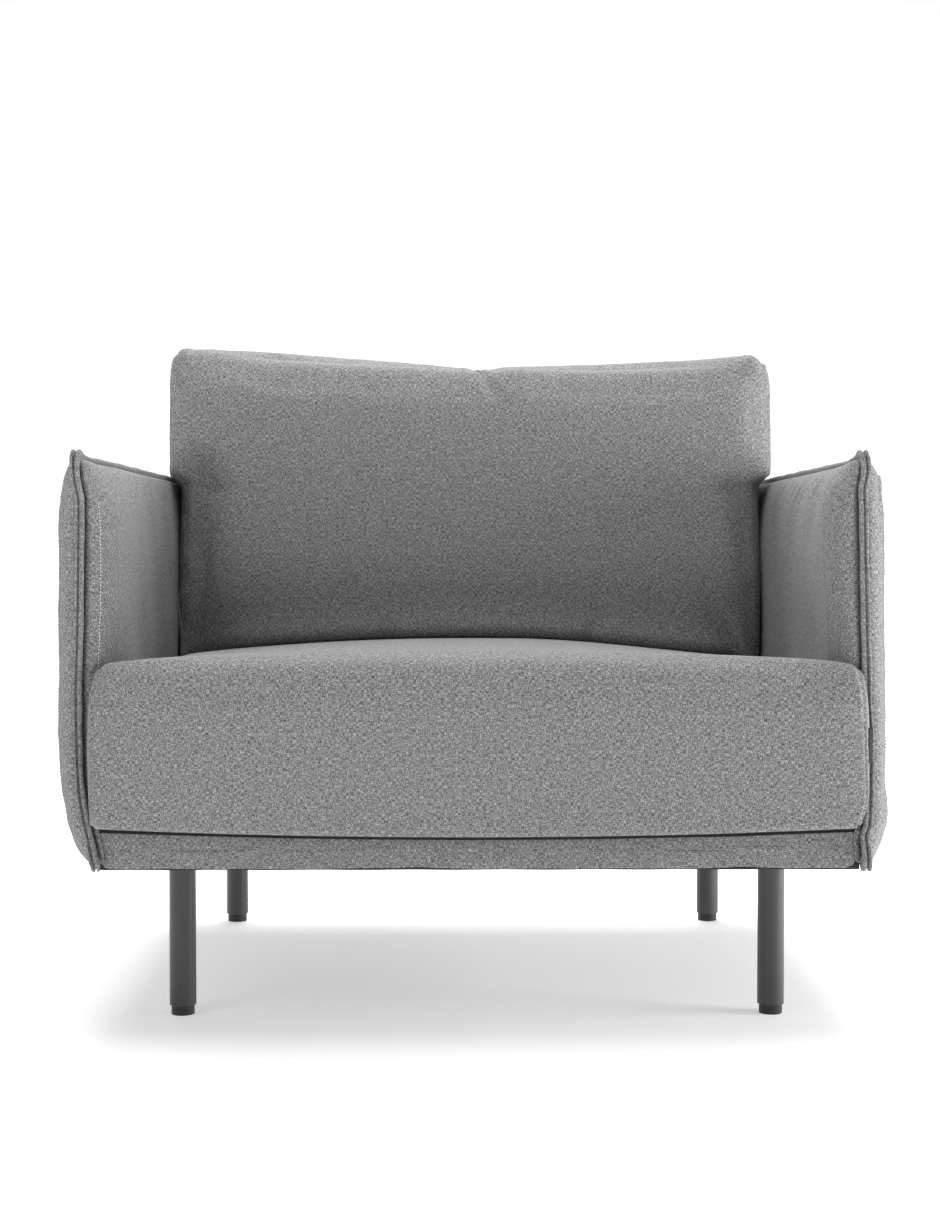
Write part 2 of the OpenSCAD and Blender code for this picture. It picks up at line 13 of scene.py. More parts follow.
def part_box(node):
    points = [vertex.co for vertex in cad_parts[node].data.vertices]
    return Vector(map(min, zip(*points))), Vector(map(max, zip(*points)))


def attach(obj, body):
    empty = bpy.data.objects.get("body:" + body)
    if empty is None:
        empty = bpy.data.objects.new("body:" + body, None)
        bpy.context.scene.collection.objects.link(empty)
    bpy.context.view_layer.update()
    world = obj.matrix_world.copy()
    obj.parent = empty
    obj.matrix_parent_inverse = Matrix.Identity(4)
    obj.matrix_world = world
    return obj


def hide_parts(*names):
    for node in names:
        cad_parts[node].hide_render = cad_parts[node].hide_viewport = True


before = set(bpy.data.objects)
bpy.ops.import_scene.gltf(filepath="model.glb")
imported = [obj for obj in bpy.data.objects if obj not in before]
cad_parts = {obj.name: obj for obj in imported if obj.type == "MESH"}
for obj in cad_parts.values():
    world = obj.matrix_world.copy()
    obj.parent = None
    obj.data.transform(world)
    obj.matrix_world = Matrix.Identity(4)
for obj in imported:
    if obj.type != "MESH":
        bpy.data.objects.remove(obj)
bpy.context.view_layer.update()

# ---------------------------------------------------------------- camera, light and floor

SENSOR = 36.0
FOCAL_IN_HEIGHTS = 1.578
CAMERA_AT = Vector((-0.027, -2.542, 0.558))
CAMERA_YAW = math.radians(0.46)
CAMERA_DOWN = math.radians(1.73)


def make_camera():
    """The photograph's view: from the front, a little above the seat."""
    data = bpy.data.cameras.new("camera")
    data.sensor_width = SENSOR
    data.lens = SENSOR * FOCAL_IN_HEIGHTS
    data.clip_end = 60
    camera = bpy.data.objects.new("camera", data)
    camera.location = CAMERA_AT
    camera.rotation_euler = (math.pi / 2 - CAMERA_DOWN, 0, -CAMERA_YAW)
    bpy.context.scene.collection.objects.link(camera)
    bpy.context.scene.camera = camera


def area_light(name, at, toward, size, power):
    """A soft rectangular light that looks toward a place."""
    data = bpy.data.lights.new(name, "AREA")
    data.shape = "RECTANGLE"
    data.size, data.size_y = size
    data.energy = power
    light = bpy.data.objects.new(name, data)
    light.location = at
    light.rotation_euler = (Vector(toward) - Vector(at)).to_track_quat("-Z", "Y").to_euler()
    bpy.context.scene.collection.objects.link(light)


def pale_world():
    """White all round the horizon and behind the chair, and darker overhead and ahead."""
    world = bpy.data.worlds.new("pale_studio")
    world.use_nodes = True
    n = Nodes(world.node_tree)
    sky = world.node_tree.nodes["Background"]
    sky.inputs["Color"].default_value = (1, 1, 1, 1)
    way = n.add("ShaderNodeSeparateXYZ", {0: n.add("ShaderNodeTexCoord").outputs["Generated"]}).outputs
    behind = n.math("POWER", n.math("MAXIMUM", way["Y"], 0.0), 2.0)
    level = n.math("SUBTRACT", 1.0, n.math("MULTIPLY", n.math("MAXIMUM", way["Z"], 0.0), 3.6))
    horizon = n.math("MULTIPLY", n.math("POWER", n.math("MAXIMUM", level, 0.0), 2.0), 0.70)
    overhead = n.math("ADD", n.math("MULTIPLY", behind, 0.92), 0.19)
    strength = n.math("MINIMUM", n.math("ADD", overhead, horizon), 1.2)
    world.node_tree.links.new(strength, sky.inputs["Strength"])
    return world


def make_studio():
    """A pale light tent: brightest behind the chair, with soft lights at its sides, front and top."""
    scene = bpy.context.scene
    scene.view_settings.view_transform = "Standard"
    scene.world = pale_world()
    area_light("side_right", (2.2, -0.45, 0.55), (0.2, 0.0, 0.45), (1.0, 1.0), 34)
    area_light("front_left", (-1.7, -1.9, 1.7), (0.0, 0.0, 0.5), (1.0, 1.0), 8)
    area_light("top_behind", (0.0, 1.6, 2.4), (0.0, -0.1, 0.4), (2.0, 1.4), 70)
    area_light("top", (0.0, -0.5, 2.7), (0.0, -0.2, 0.4), (2.0, 2.0), 42)
    floor = mesh_object("studio_floor", *flat_grid(30.0, 30))
    floor.data.materials.append(lit_floor())


def lit_floor():
    """White paper, lit from below away from the chair."""
    material, tree, shader = principled("studio_floor")
    n = Nodes(tree)
    away = n.add("ShaderNodeVectorMath", {0: n.place()}, operation="LENGTH").outputs["Value"]
    glow = n.span(away, 0.5, 1.6, 0.42, 0.90)
    tree.links.new(glow, shader.inputs["Emission Strength"])
    shader.inputs["Emission Color"].default_value = (1, 1, 1, 1)
    shader.inputs["Base Color"].default_value = (0.93, 0.93, 0.93, 1)
    shader.inputs["Roughness"].default_value = 0.8
    return material


# ---------------------------------------------------------------- meshes


def mesh_object(name, points, faces):
    """A smooth-shaded piece made of points and faces."""
    mesh = bpy.data.meshes.new(name)
    mesh.from_pydata([tuple(p) for p in points], [], [tuple(f) for f in faces])
    mesh.update()
    mesh.shade_smooth()
    made = bpy.data.objects.new(name, mesh)
    bpy.context.scene.collection.objects.link(made)
    return made


def flat_grid(size, cells):
    """Points and faces of a level square."""
    side = np.linspace(-size / 2, size / 2, cells + 1)
    x, y = np.meshgrid(side, side, indexing="ij")
    points = np.stack([x, y, np.zeros_like(x)], -1).reshape(-1, 3)
    return points, grid_faces(cells + 1, cells + 1)


def grid_faces(rows, columns, wrap=False):
    """Quads over a grid of points; wrap joins the last column to the first."""
    ids = np.arange(rows * columns).reshape(rows, columns)
    right = np.roll(ids, -1, 1) if wrap else ids[:, 1:]
    left = ids if wrap else ids[:, :-1]
    quads = np.stack([left[:-1], left[1:], right[1:], right[:-1]], -1)
    return quads.reshape(-1, 4).tolist()


def tube(name, rings, capped=True):
    """A closed mesh over a stack of closed rings, with a fan of triangles at each end."""
    rings = np.asarray(rings, float)
    count, around = rings.shape[:2]
    faces = grid_faces(count, around, wrap=True)
    points = rings.reshape(-1, 3)
    if capped:
        first, last = count * around, count * around + 1
        points = np.vstack([points, rings[0].mean(0), rings[-1].mean(0)])
        base = (count - 1) * around
        for i in range(around):
            j = (i + 1) % around
            faces.append((first, i, j))
            faces.append((last, base + j, base + i))
    else:
        ends = [(count - 1) * around + i for i in range(around)]
        for i in range(around):
            j = (i + 1) % around
            faces.append((ends[i], i, j, ends[j]))
    made = mesh_object(name, points, faces)
    outward(made)
    return made


def reshaped(piece, change):
    """Edits a piece's mesh through bmesh."""
    work = bmesh.new()
    work.from_mesh(piece.data)
    change(work)
    work.to_mesh(piece.data)
    work.free()


def outward(piece):
    """Turns a closed mesh's faces outward."""
    reshaped(piece, lambda work: bmesh.ops.recalc_face_normals(work, faces=work.faces))


def vectors(collection, key):
    """A mesh's places or normals as rows of three."""
    flat = np.empty(len(collection) * 3, np.float32)
    collection.foreach_get(key, flat)
    return flat.reshape(-1, 3).astype(float)


def places(piece):
    return vectors(piece.data.vertices, "co")


def normals(piece):
    return vectors(piece.data.vertex_normals, "vector")


def put(piece, points):
    """Moves a piece's points."""
    piece.data.vertices.foreach_set("co", np.asarray(points, np.float32).ravel())
    piece.data.update()


def shell(piece, thickness, offset=-1.0):
    """Gives a skin its thickness."""
    solid = piece.modifiers.new("thickness", "SOLIDIFY")
    solid.thickness = thickness
    solid.offset = offset
    solid.use_rim = True


def dress(piece, body, slot, *replaced, look=None, fill=None):
    """Gives a finished piece its material and its body, and hides the CAD nodes it stands for.

    The material has the slot's name unless look names another. fill is not used.
    """
    piece.data.materials.clear()
    piece.data.materials.append(MATERIALS[look or slot])
    if replaced:
        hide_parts(*replaced)
    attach(piece, body)


# ---------------------------------------------------------------- curves and numbers


def smooth(t):
    """From 0 to 1 without a corner at either end."""
    t = np.clip(t, 0, 1)
    return t * t * (3 - 2 * t)


def bump(x, middle, width):
    """1 at the middle, falling away over a width."""
    return np.exp(-(((x - middle) / width) ** 2))


def spline(points, per_gap):
    """A smooth line through the points (Catmull-Rom)."""
    p = np.asarray(points, float)
    p = np.vstack([2 * p[0] - p[1], p, 2 * p[-1] - p[-2]])
    t = np.linspace(0, 1, per_gap, endpoint=False)[:, None]
    out = []
    for a, b, c, d in zip(p[:-3], p[1:-2], p[2:-1], p[3:]):
        out.append(
            0.5
            * (2 * b + (c - a) * t + (2 * a - 5 * b + 4 * c - d) * t**2 + (3 * b - a - 3 * c + d) * t**3)
        )
    out.append(p[-2][None])
    return np.vstack(out)


def along(points, x):
    """The smooth line through (x, value) points, read at x."""
    line = spline(points, 12)
    order = np.argsort(line[:, 0])
    return np.interp(x, line[order, 0], line[order, 1])


def ripple(at, wavelength, seed, waves=14):
    """Smooth, repeatable unevenness from -1 to 1, of about this wavelength, at points."""
    rng = np.random.default_rng(seed)
    way = rng.normal(size=(waves, at.shape[-1]))
    way /= np.linalg.norm(way, axis=1, keepdims=True)
    pace = 2 * np.pi / (wavelength * rng.uniform(0.7, 1.6, waves))
    phase = rng.uniform(0, 2 * np.pi, waves)
    total = np.cos(at @ (way * pace[:, None]).T + phase).sum(-1)
    return total / math.sqrt(waves)


def steps(lo, hi, size):
    """Evenly spaced values from lo to hi, about a size apart."""
    return np.linspace(lo, hi, max(2, round((hi - lo) / size) + 1))


def round_outline(lo, hi, radii, size):
    """A closed rectangle with round corners, as evenly spread points.

    The radii go anticlockwise from the lower left corner.
    """
    (x0, y0), (x1, y1) = lo, hi
    corners = [
        (x0 + radii[0], y0 + radii[0], radii[0], 180),
        (x1 - radii[1], y0 + radii[1], radii[1], 270),
        (x1 - radii[2], y1 - radii[2], radii[2], 0),
        (x0 + radii[3], y1 - radii[3], radii[3], 90),
    ]
    line = []
    for x, y, r, start in corners:
        turn = np.radians(np.linspace(start, start + 90, 17))
        line.append(np.stack([x + r * np.cos(turn), y + r * np.sin(turn)], 1))
    line = np.vstack(line + [line[0][:1]])
    return evenly(line, size)


def evenly(line, size):
    """A closed line again, with its points evenly spaced and the closing point left out."""
    step = np.linalg.norm(np.diff(line, axis=0), axis=1)
    run = np.concatenate([[0], np.cumsum(step)])
    at = np.linspace(0, run[-1], round(run[-1] / size), endpoint=False)
    return np.stack([np.interp(at, run, line[:, k]) for k in range(line.shape[1])], 1)


# ---------------------------------------------------------------- materials


def principled(name):
    """A new material with its node tree and its shader."""
    material = bpy.data.materials.new(name)
    material.use_nodes = True
    tree = material.node_tree
    return material, tree, tree.nodes["Principled BSDF"]


class Nodes:
    """Short ways to add and join shader nodes."""

    def __init__(self, tree):
        self.tree = tree

    def add(self, kind, inputs=None, **settings):
        node = self.tree.nodes.new(kind)
        for key, value in settings.items():
            setattr(node, key, value)
        for key, value in (inputs or {}).items():
            socket = node.inputs[key]
            if isinstance(value, bpy.types.NodeSocket):
                self.tree.links.new(value, socket)
            else:
                socket.default_value = value
        return node

    def math(self, operation, a, b=0.0):
        return self.add("ShaderNodeMath", {0: a, 1: b}, operation=operation).outputs[0]

    def place(self):
        """The piece's own coordinates: the row frame at rest."""
        return self.add("ShaderNodeTexCoord").outputs["Object"]

    def noise(self, at, scale, detail=2.0, roughness=0.5):
        inputs = {"Vector": at, "Scale": scale, "Detail": detail, "Roughness": roughness}
        return self.add("ShaderNodeTexNoise", inputs).outputs["Fac"]

    def stretched(self, at, scale):
        inputs = {"Vector": at, "Scale": scale}
        return self.add("ShaderNodeMapping", inputs).outputs["Vector"]

    def span(self, value, low, high, to_low, to_high):
        inputs = {"Value": value, 1: low, 2: high, 3: to_low, 4: to_high}
        return self.add("ShaderNodeMapRange", inputs).outputs["Result"]

    def colours(self, factor, *stops):
        ramp = self.add("ShaderNodeValToRGB", {"Fac": factor})
        line = ramp.color_ramp
        for i, (at, colour) in enumerate(stops):
            stop = line.elements[i] if i < 2 else line.elements.new(at)
            stop.position = at
            stop.color = (*colour, 1)
        return ramp.outputs["Color"]

    def bumped(self, height, strength, distance):
        inputs = {"Height": height, "Strength": strength, "Distance": distance}
        return self.add("ShaderNodeBump", inputs).outputs["Normal"]

    def cloth_plane(self):
        """Coordinates (u, v, 0) across and along the cloth, taken from the way each face looks."""
        at = self.add("ShaderNodeSeparateXYZ", {"Vector": self.place()}).outputs
        facing = self.add("ShaderNodeNewGeometry").outputs["Normal"]
        way = self.add("ShaderNodeSeparateXYZ", {"Vector": facing}).outputs
        x, y, z = (self.math("ABSOLUTE", way[i]) for i in range(3))
        side = self.math("GREATER_THAN", x, self.math("MAXIMUM", y, z))
        top = self.math("GREATER_THAN", z, self.math("MAXIMUM", x, y))
        u = self.math("ADD", at[0], self.math("MULTIPLY", side, self.math("SUBTRACT", at[1], at[0])))
        v = self.math("ADD", at[2], self.math("MULTIPLY", top, self.math("SUBTRACT", at[1], at[2])))
        return self.add("ShaderNodeCombineXYZ", {0: u, 1: v}).outputs[0]


def coated(kind, colour, normal, roughness):
    """Joins up a material that principled() began."""
    material, tree, shader = kind
    tree.links.new(colour, shader.inputs["Base Color"])
    tree.links.new(normal, shader.inputs["Normal"])
    shader.inputs["Roughness"].default_value = roughness
    return material


def woven_fabric():
    """Mid-grey melange: light and dark slubs across and along, on a plain weave."""
    kind = principled("cover_fabric")
    n = Nodes(kind[1])
    at = n.cloth_plane()
    across = n.noise(n.stretched(at, (260, 1220, 1)), 1.0, 0.0)
    upright = n.noise(n.stretched(at, (1220, 260, 1)), 1.0, 0.0)
    fine = n.noise(n.stretched(at, (1900, 1900, 1)), 1.0, 0.0)
    blotch = n.noise(n.place(), 105.0, 2.0, 0.5)
    threads = n.math("ADD", across, upright)
    threads = n.math("ADD", threads, n.math("MULTIPLY", fine, 0.5))
    threads = n.math("ADD", threads, n.math("MULTIPLY", blotch, 0.24))
    tone = n.span(threads, 0.90, 1.84, 0.0, 1.0)
    dark, middle, light = (0.040, 0.040, 0.043), (0.205, 0.205, 0.210), (0.500, 0.500, 0.506)
    colour = n.colours(tone, (0.0, dark), (1.0, light), (0.5, middle))
    height = n.math("MAXIMUM", across, upright)
    material = coated(kind, colour, n.bumped(height, 0.35, 0.0004), 0.92)
    shader = kind[2]
    shader.inputs["Specular IOR Level"].default_value = 0.2
    shader.inputs["Sheen Weight"].default_value = 0.08
    shader.inputs["Sheen Roughness"].default_value = 0.5
    return material


def speckled(name, dark, light, scale, roughness, bump_height, metallic=0.0):
    """A finish with fine unevenness in colour, roughness and height."""
    material, tree, shader = principled(name)
    n = Nodes(tree)
    grain = n.noise(n.place(), scale, 4.0, 0.6)
    tree.links.new(n.colours(grain, (0.3, dark), (0.7, light)), shader.inputs["Base Color"])
    rough = n.span(grain, 0.2, 0.8, roughness * 0.85, min(1.0, roughness * 1.15))
    tree.links.new(rough, shader.inputs["Roughness"])
    tree.links.new(n.bumped(grain, 0.4, bump_height), shader.inputs["Normal"])
    shader.inputs["Metallic"].default_value = metallic
    return material


def solid_timber():
    """Sawn softwood: grain along X, bent a little, with fine pores."""
    kind = principled("frame_timber")
    n = Nodes(kind[1])
    warp = n.noise(n.stretched(n.place(), (2, 9, 9)), 3.0, 2.0)
    bent = n.math("MULTIPLY", warp, 0.09)
    shifted = n.add("ShaderNodeVectorMath", {0: n.place(), 1: bent}, operation="ADD").outputs[0]
    rings = n.noise(n.stretched(shifted, (6, 60, 60)), 2.2, 3.0, 0.65)
    pores = n.noise(n.stretched(n.place(), (60, 700, 700)), 1.0, 2.0)
    tone = n.math("ADD", rings, n.math("MULTIPLY", pores, 0.25))
    colour = n.colours(tone, (0.35, (0.40, 0.25, 0.125)), (0.8, (0.68, 0.49, 0.29)))
    return coated(kind, colour, n.bumped(pores, 0.3, 0.0004), 0.62)


def layered_plywood():
    """Plies show as bands through the thickness, which is X in the arms and Y in the back."""
    kind = principled("plywood")
    n = Nodes(kind[1])
    at = n.add("ShaderNodeSeparateXYZ", {"Vector": n.place()}).outputs
    plies = n.math("SINE", n.math("MULTIPLY", n.math("ADD", at[0], at[1]), 2300.0))
    grain = n.noise(n.stretched(n.place(), (30, 30, 4)), 4.0, 3.0)
    tone = n.math("ADD", n.math("MULTIPLY", plies, 0.12), grain)
    colour = n.colours(tone, (0.3, (0.46, 0.31, 0.17)), (0.75, (0.70, 0.54, 0.35)))
    return coated(kind, colour, n.bumped(grain, 0.3, 0.0003), 0.6)


def ribbed_tape(name, dark, light, pitch):
    """Tape or webbing with a rib along both ways of its weave."""
    kind = principled(name)
    n = Nodes(kind[1])
    at = n.add("ShaderNodeSeparateXYZ", {"Vector": n.cloth_plane()}).outputs
    wave = [n.math("SINE", n.math("MULTIPLY", at[i], 2 * math.pi / pitch)) for i in range(2)]
    rib = n.math("MULTIPLY", wave[0], wave[1])
    fleck = n.noise(n.place(), 500.0, 2.0)
    tone = n.math("ADD", n.math("MULTIPLY", rib, 0.25), fleck)
    return coated(kind, n.colours(tone, (0.2, dark), (0.85, light)), n.bumped(rib, 0.5, 0.0004), 0.8)


# Dark and light colour, scale of the grain, roughness, height of the grain, and metallic.
SPECKLED = {
    "foam": ((0.66, 0.62, 0.45), (0.80, 0.77, 0.62), 900, 0.95, 0.0008),
    "fibre_fill": ((0.78, 0.78, 0.77), (0.90, 0.90, 0.89), 120, 0.95, 0.003),
    "leg_powder_coat": ((0.040, 0.040, 0.043), (0.056, 0.056, 0.060), 1400, 0.42, 0.0002),
    "glide_plastic": ((0.008, 0.008, 0.009), (0.018, 0.018, 0.019), 700, 0.45, 0.0002),
    "zinc_steel": ((0.52, 0.53, 0.55), (0.72, 0.73, 0.74), 260, 0.32, 0.0001, 1.0),
    "zip_metal": ((0.10, 0.10, 0.105), (0.20, 0.20, 0.205), 500, 0.35, 0.0001, 1.0),
    # thread is the same thread as dull_thread, drawn near white as a painted highlight where the side
    # light catches it.
    "thread": ((0.60, 0.60, 0.60), (0.85, 0.85, 0.85), 2500, 0.7, 0.0001),
    "dull_thread": ((0.16, 0.16, 0.165), (0.34, 0.34, 0.345), 2500, 0.8, 0.0001),
}
# Dark and light colour, and the pitch of the ribs.
RIBBED = {
    "elastic_webbing": ((0.015, 0.015, 0.016), (0.07, 0.07, 0.07), 0.004),
    "black_lining": ((0.010, 0.010, 0.011), (0.03, 0.03, 0.032), 0.0016),
    "zip_tape": ((0.02, 0.02, 0.021), (0.07, 0.07, 0.072), 0.0014),
    "tag_tape": ((0.012, 0.012, 0.013), (0.05, 0.05, 0.052), 0.001),
}


def make_materials():
    """Every material by name."""
    made = {"cover_fabric": woven_fabric(), "frame_timber": solid_timber(), "plywood": layered_plywood()}
    for name, look in SPECKLED.items():
        made[name] = speckled(name, *look)
    for name, look in RIBBED.items():
        made[name] = ribbed_tape(name, *look)
    return made


# ---------------------------------------------------------------- sizes taken from the frame

# How far apart a cloth's points are, and how thick the cloth is.
GRID = 0.0065
FABRIC = 0.0015

pillow_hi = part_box("arm_cover_outer_right")[1]
inner_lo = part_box("arm_cover_inner_right")[0]
flange_lo, flange_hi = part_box("arm_flange_right")
board_lo, board_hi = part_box("arm_board_right")
back_lo, back_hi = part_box("back_flange")
back_pad_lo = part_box("back_cover_front")[0]
back_rear_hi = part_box("back_cover_rear")[1]
band_lo, band_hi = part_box("base_band")
seat_lo, seat_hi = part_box("seat_cover")
cushion_lo, cushion_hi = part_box("back_cushion_cover")

SEAM_X = (flange_lo.x + flange_hi.x) / 2
FRONT, REAR = flange_lo.y, flange_hi.y
FOOT, HEAD = flange_lo.z, flange_hi.z
# How far the sewn flange stands out from a panel.
FLANGE = 0.008
FULL = SEAM_X - inner_lo.x
SKIN = SEAM_X - board_lo.x + FABRIC
BACK_Y = (back_lo.y + back_hi.y) / 2
BACK_FULL = back_rear_hi.y - BACK_Y

# The radius within which the covers may round off the boards' corners.
BOARD_CORNER = 0.014

# How far the seat's front edge sags in its middle, and the back cushion's top leans back.
NOSE_SAG = 0.0095
BACK_LEAN = 0.054

LEGS = ("front_left", "front_right", "rear_left", "rear_right")

# How much thinner the left and right arms' inner padding is pressed at the back.
REAR_GIVE = (0.0150, 0.0045)

# ---------------------------------------------------------------- padded panels

# One edge of a padded panel: how far in from the flange's root, and how high as a share of full.
# The first folds under the flange, so that a deep line shows beside it. The second runs out into it.
FOLDED_EDGE = spline(
    [(0.0055, 0.10), (0.002, 0.20), (0.0002, 0.31), (0.0022, 0.46), (0.011, 0.64), (0.028, 0.80),
     (0.055, 0.92), (0.105, 1.0)], 4)
# How many points of the folded edge lie below the flat skin.
FOLD_TURNED = 13
FLUSH_EDGE = spline(
    [(-0.0040, 0.09), (-0.0048, 0.17), (-0.0035, 0.28), (0.0005, 0.42), (0.009, 0.58), (0.022, 0.75),
     (0.040, 0.90), (0.058, 0.97), (0.076, 1.0)], 4)
# The outer half's upper edge, which slopes away more slowly.
SLOPED_EDGE = spline(
    [(-0.0020, 0.09), (-0.0020, 0.18), (0.0008, 0.32), (0.0060, 0.49), (0.0140, 0.66), (0.026, 0.82),
     (0.045, 0.94), (0.066, 1.0)], 4)


def panel_lines(lo, hi, low_edge, high_edge):
    """(place, share of full height) of every grid line across a panel."""
    low = np.stack([lo + low_edge[:, 0], low_edge[:, 1]], 1)
    high = np.stack([hi - high_edge[::-1, 0], high_edge[::-1, 1]], 1)
    middle = steps(low[-1, 0], high[0, 0], GRID)[1:-1]
    return np.vstack([low, np.stack([middle, np.ones_like(middle)], 1), high])


def pillow(u_lines, v_lines, full, seed):
    """Points (u, v, w) of one half of a padded panel, w being its height over the seam's plane."""
    u, v = np.meshgrid(u_lines[:, 0], v_lines[:, 0], indexing="ij")
    a, b = np.meshgrid(u_lines[:, 1], v_lines[:, 1], indexing="ij")
    share = a * b
    at = np.stack([u, v], -1)
    puckers = ripple(at, 0.022, seed) * 0.0007 * bump(share, 0.72, 0.2)
    lumps = ripple(at, 0.14, seed + 1) * 0.0009 * smooth(share)
    w = full * share + puckers + lumps
    return np.stack([u, v, w], -1)


def front_seam_shift(side, z):
    """How far the arm's front seam stands off its plane, to +X, at a height above the floor."""
    if side < 0:
        line = [(0.195, 0.014), (0.205, 0.0125), (0.218, 0.0095), (0.234, 0.0060), (0.250, 0.0020),
                (0.280, -0.003), (0.32, -0.006), (0.40, -0.007), (0.50, -0.0045), (0.600, -0.0030),
                (0.614, -0.0030), (0.630, -0.0060), (0.645, -0.0075), (0.667, -0.007), (0.68, -0.007)]
    else:
        line = [(0.195, -0.006), (0.205, -0.006), (0.225, -0.0075), (0.240, -0.0085), (0.256, -0.004),
                (0.325, -0.003), (0.40, -0.006), (0.50, -0.009), (0.600, -0.0115), (0.625, -0.0125),
                (0.640, -0.0100), (0.652, -0.0100), (0.667, -0.0125), (0.68, -0.0125)]
    return along(line, z)


def toe_out(y):
    """From 0 at the arms' fronts to 1 at their backs, where their inner padding is pressed thinner."""
    return smooth((y + 0.34) / 0.36)


def lean_of(side, outward, u, v):
    """How far an arm's padding leans to +X, where it is full."""
    if outward:
        return -0.003 if side < 0 else -0.0055
    if side < 0:
        return -0.003 * (1 - toe_out(u)) - REAR_GIVE[0] * toe_out(u)
    high = smooth((v - 0.42) / 0.14)
    return -0.010 * high * (1 - smooth((u + 0.36) / 0.35)) + REAR_GIVE[1] * toe_out(u)


def past_board(u, v):
    """How far a place on an arm's side lies outside the board's round-cornered outline."""
    round_in = BOARD_CORNER
    off_u = np.maximum(np.maximum(board_lo.y + round_in - u, u - board_hi.y + round_in), 0)
    off_v = np.maximum(np.maximum(board_lo.z + round_in - v, v - board_hi.z + round_in), 0)
    return np.maximum(np.hypot(off_u, off_v) - round_in, 0)


def beyond_fit(side, u, v, far):
    """Keeps an arm's inner half off the base, and fills the place beside the seat."""
    low = (v < seat_lo.z) & (u > band_lo.y - 0.001)
    far = np.where(low, np.maximum(far, board_lo.x - FABRIC), far)
    beside = (v < 0.41) & (u > -0.37)
    give = REAR_GIVE[0 if side < 0 else 1] * toe_out(u)
    return np.where(beside, np.maximum(far, inner_lo.x - 0.001 + give), far)


def arm_points(side, outward, uvw):
    """Places a pillow's points on an arm: u runs back, v up and w away from the seam's plane."""
    u, v, w = uvw[..., 0], uvw[..., 1], uvw[..., 2]
    reach = 0.055 + 0.10 * smooth((v - FOOT) / 0.12)
    shift = front_seam_shift(side, v) * (1 - smooth((u - FRONT - FLANGE) / reach))
    share = smooth(w / FULL)
    lean = lean_of(side, outward, u, v)
    x = side * SEAM_X + shift * (1 - 0.6 * share) + lean * share * smooth((v - 0.25) / 0.05)
    x = x + side * (w if outward else -w)
    far = np.abs(x)
    off = past_board(u, v)
    sewn = np.abs(w) < 0.0065
    if outward:
        far = np.where(sewn, far, np.maximum(far, board_hi.x + 0.0026 - 1.3 * off))
    else:
        far = np.where(sewn, far, np.minimum(far, board_lo.x - 0.0004 + 1.3 * off))
        far = beyond_fit(side, u, v, far)
    return np.stack([np.sign(x) * far, u, v], -1)


def pull_in(u, v, lo, hi):
    """Draws an outline's sides in between its corners: returns how far u and v move."""
    (u0, v0), (u1, v1) = lo, hi
    sag, reach = 0.0042, 0.075
    du = sag * smooth(np.minimum(v - v0, v1 - v) / reach)
    dv = sag * smooth(np.minimum(u - u0, u1 - u) / reach)
    tu = np.clip((u - u0) / (u1 - u0), 0, 1)
    tv = np.clip((v - v0) / (v1 - v0), 0, 1)
    return du * (1 - 2 * tu), dv * (1 - 2 * tv)


def pulled(uvw, lo, hi):
    """A panel's points with its sides drawn in."""
    du, dv = pull_in(uvw[..., 0], uvw[..., 1], lo, hi)
    return np.stack([uvw[..., 0] + du, uvw[..., 1] + dv, uvw[..., 2]], -1)


# Half of the flange's cut: (away from the root, off the seam's plane). Two soft folds meet at its tip.
FLANGE_CUT = [(-0.006, 0.0012), (-0.003, 0.0032), (0.0006, 0.0044), (0.0045, 0.0051), (0.0070, 0.0046),
              (0.0082, 0.0033), (0.0079, 0.0019), (0.0064, 0.0009), (0.0040, 0.0005)]


def flange_path(lo, hi, radius, size):
    """A flange's line from the side: points, the way out, and how near each is to a corner (1 at it)."""
    line = round_outline(lo, hi, [radius] * 4, size)
    ahead, behind = np.roll(line, -1, 0), np.roll(line, 1, 0)
    run = ahead - behind
    out = np.stack([run[:, 1], -run[:, 0]], 1) / np.linalg.norm(run, axis=1, keepdims=True)
    corners = np.array([(a, b) for a in (lo[0], hi[0]) for b in (lo[1], hi[1])])
    away = np.linalg.norm(line[:, None] - corners[None], axis=-1).min(1)
    return line, out, bump(away, 0, 0.018)


def flange(name, lo, hi, place, seed):
    """The sewn edge that stands round a panel: two rolled folds with the seam between them."""
    root_lo, root_hi = np.array(lo) + FLANGE, np.array(hi) - FLANGE
    line, out, corner = flange_path(root_lo, root_hi, 0.004, 0.004)
    half = spline(FLANGE_CUT, 3)
    cut = np.vstack([half * (1, 1.25), (half * (1, -0.85))[::-1]])
    thick = 1 + 0.12 * corner + 0.07 * ripple(line, 0.05, seed)
    tall = 1 + 0.40 * corner + 0.05 * ripple(line, 0.07, seed + 1)
    rings = []
    for n, w in cut:
        deep = n if n < 0 else n * tall
        at = line + out * np.broadcast_to(deep, len(line))[:, None]
        rings.append(np.stack([at[:, 0], at[:, 1], (w - 0.0012) * thick], -1))
    uvw = pulled(np.array(rings), lo, hi)
    edge = tube(name, place(uvw), capped=False)
    dress(edge, "frame", "cover_fabric", name)


def cover_half(name, points, toward):
    """One fabric half of a panel's cover."""
    piece = grid_piece(name, points, toward)
    shell(piece, FABRIC)
    dress(piece, "frame", "cover_fabric", name, fill=0.8)


def skin_edge(root, flat):
    """A folded edge that rises no higher than the flat skin."""
    edge = FOLDED_EDGE[:FOLD_TURNED] * (1, flat / FOLDED_EDGE[FOLD_TURNED - 1, 1])
    return np.stack([root + edge[:, 0], edge[:, 1]], 1), edge


def skin_lines(lo, hi, flat):
    """Grid lines over a flat skin, between its ends."""
    at = steps(lo, hi, GRID)[1:-1]
    return np.stack([at, np.full_like(at, flat)], 1)


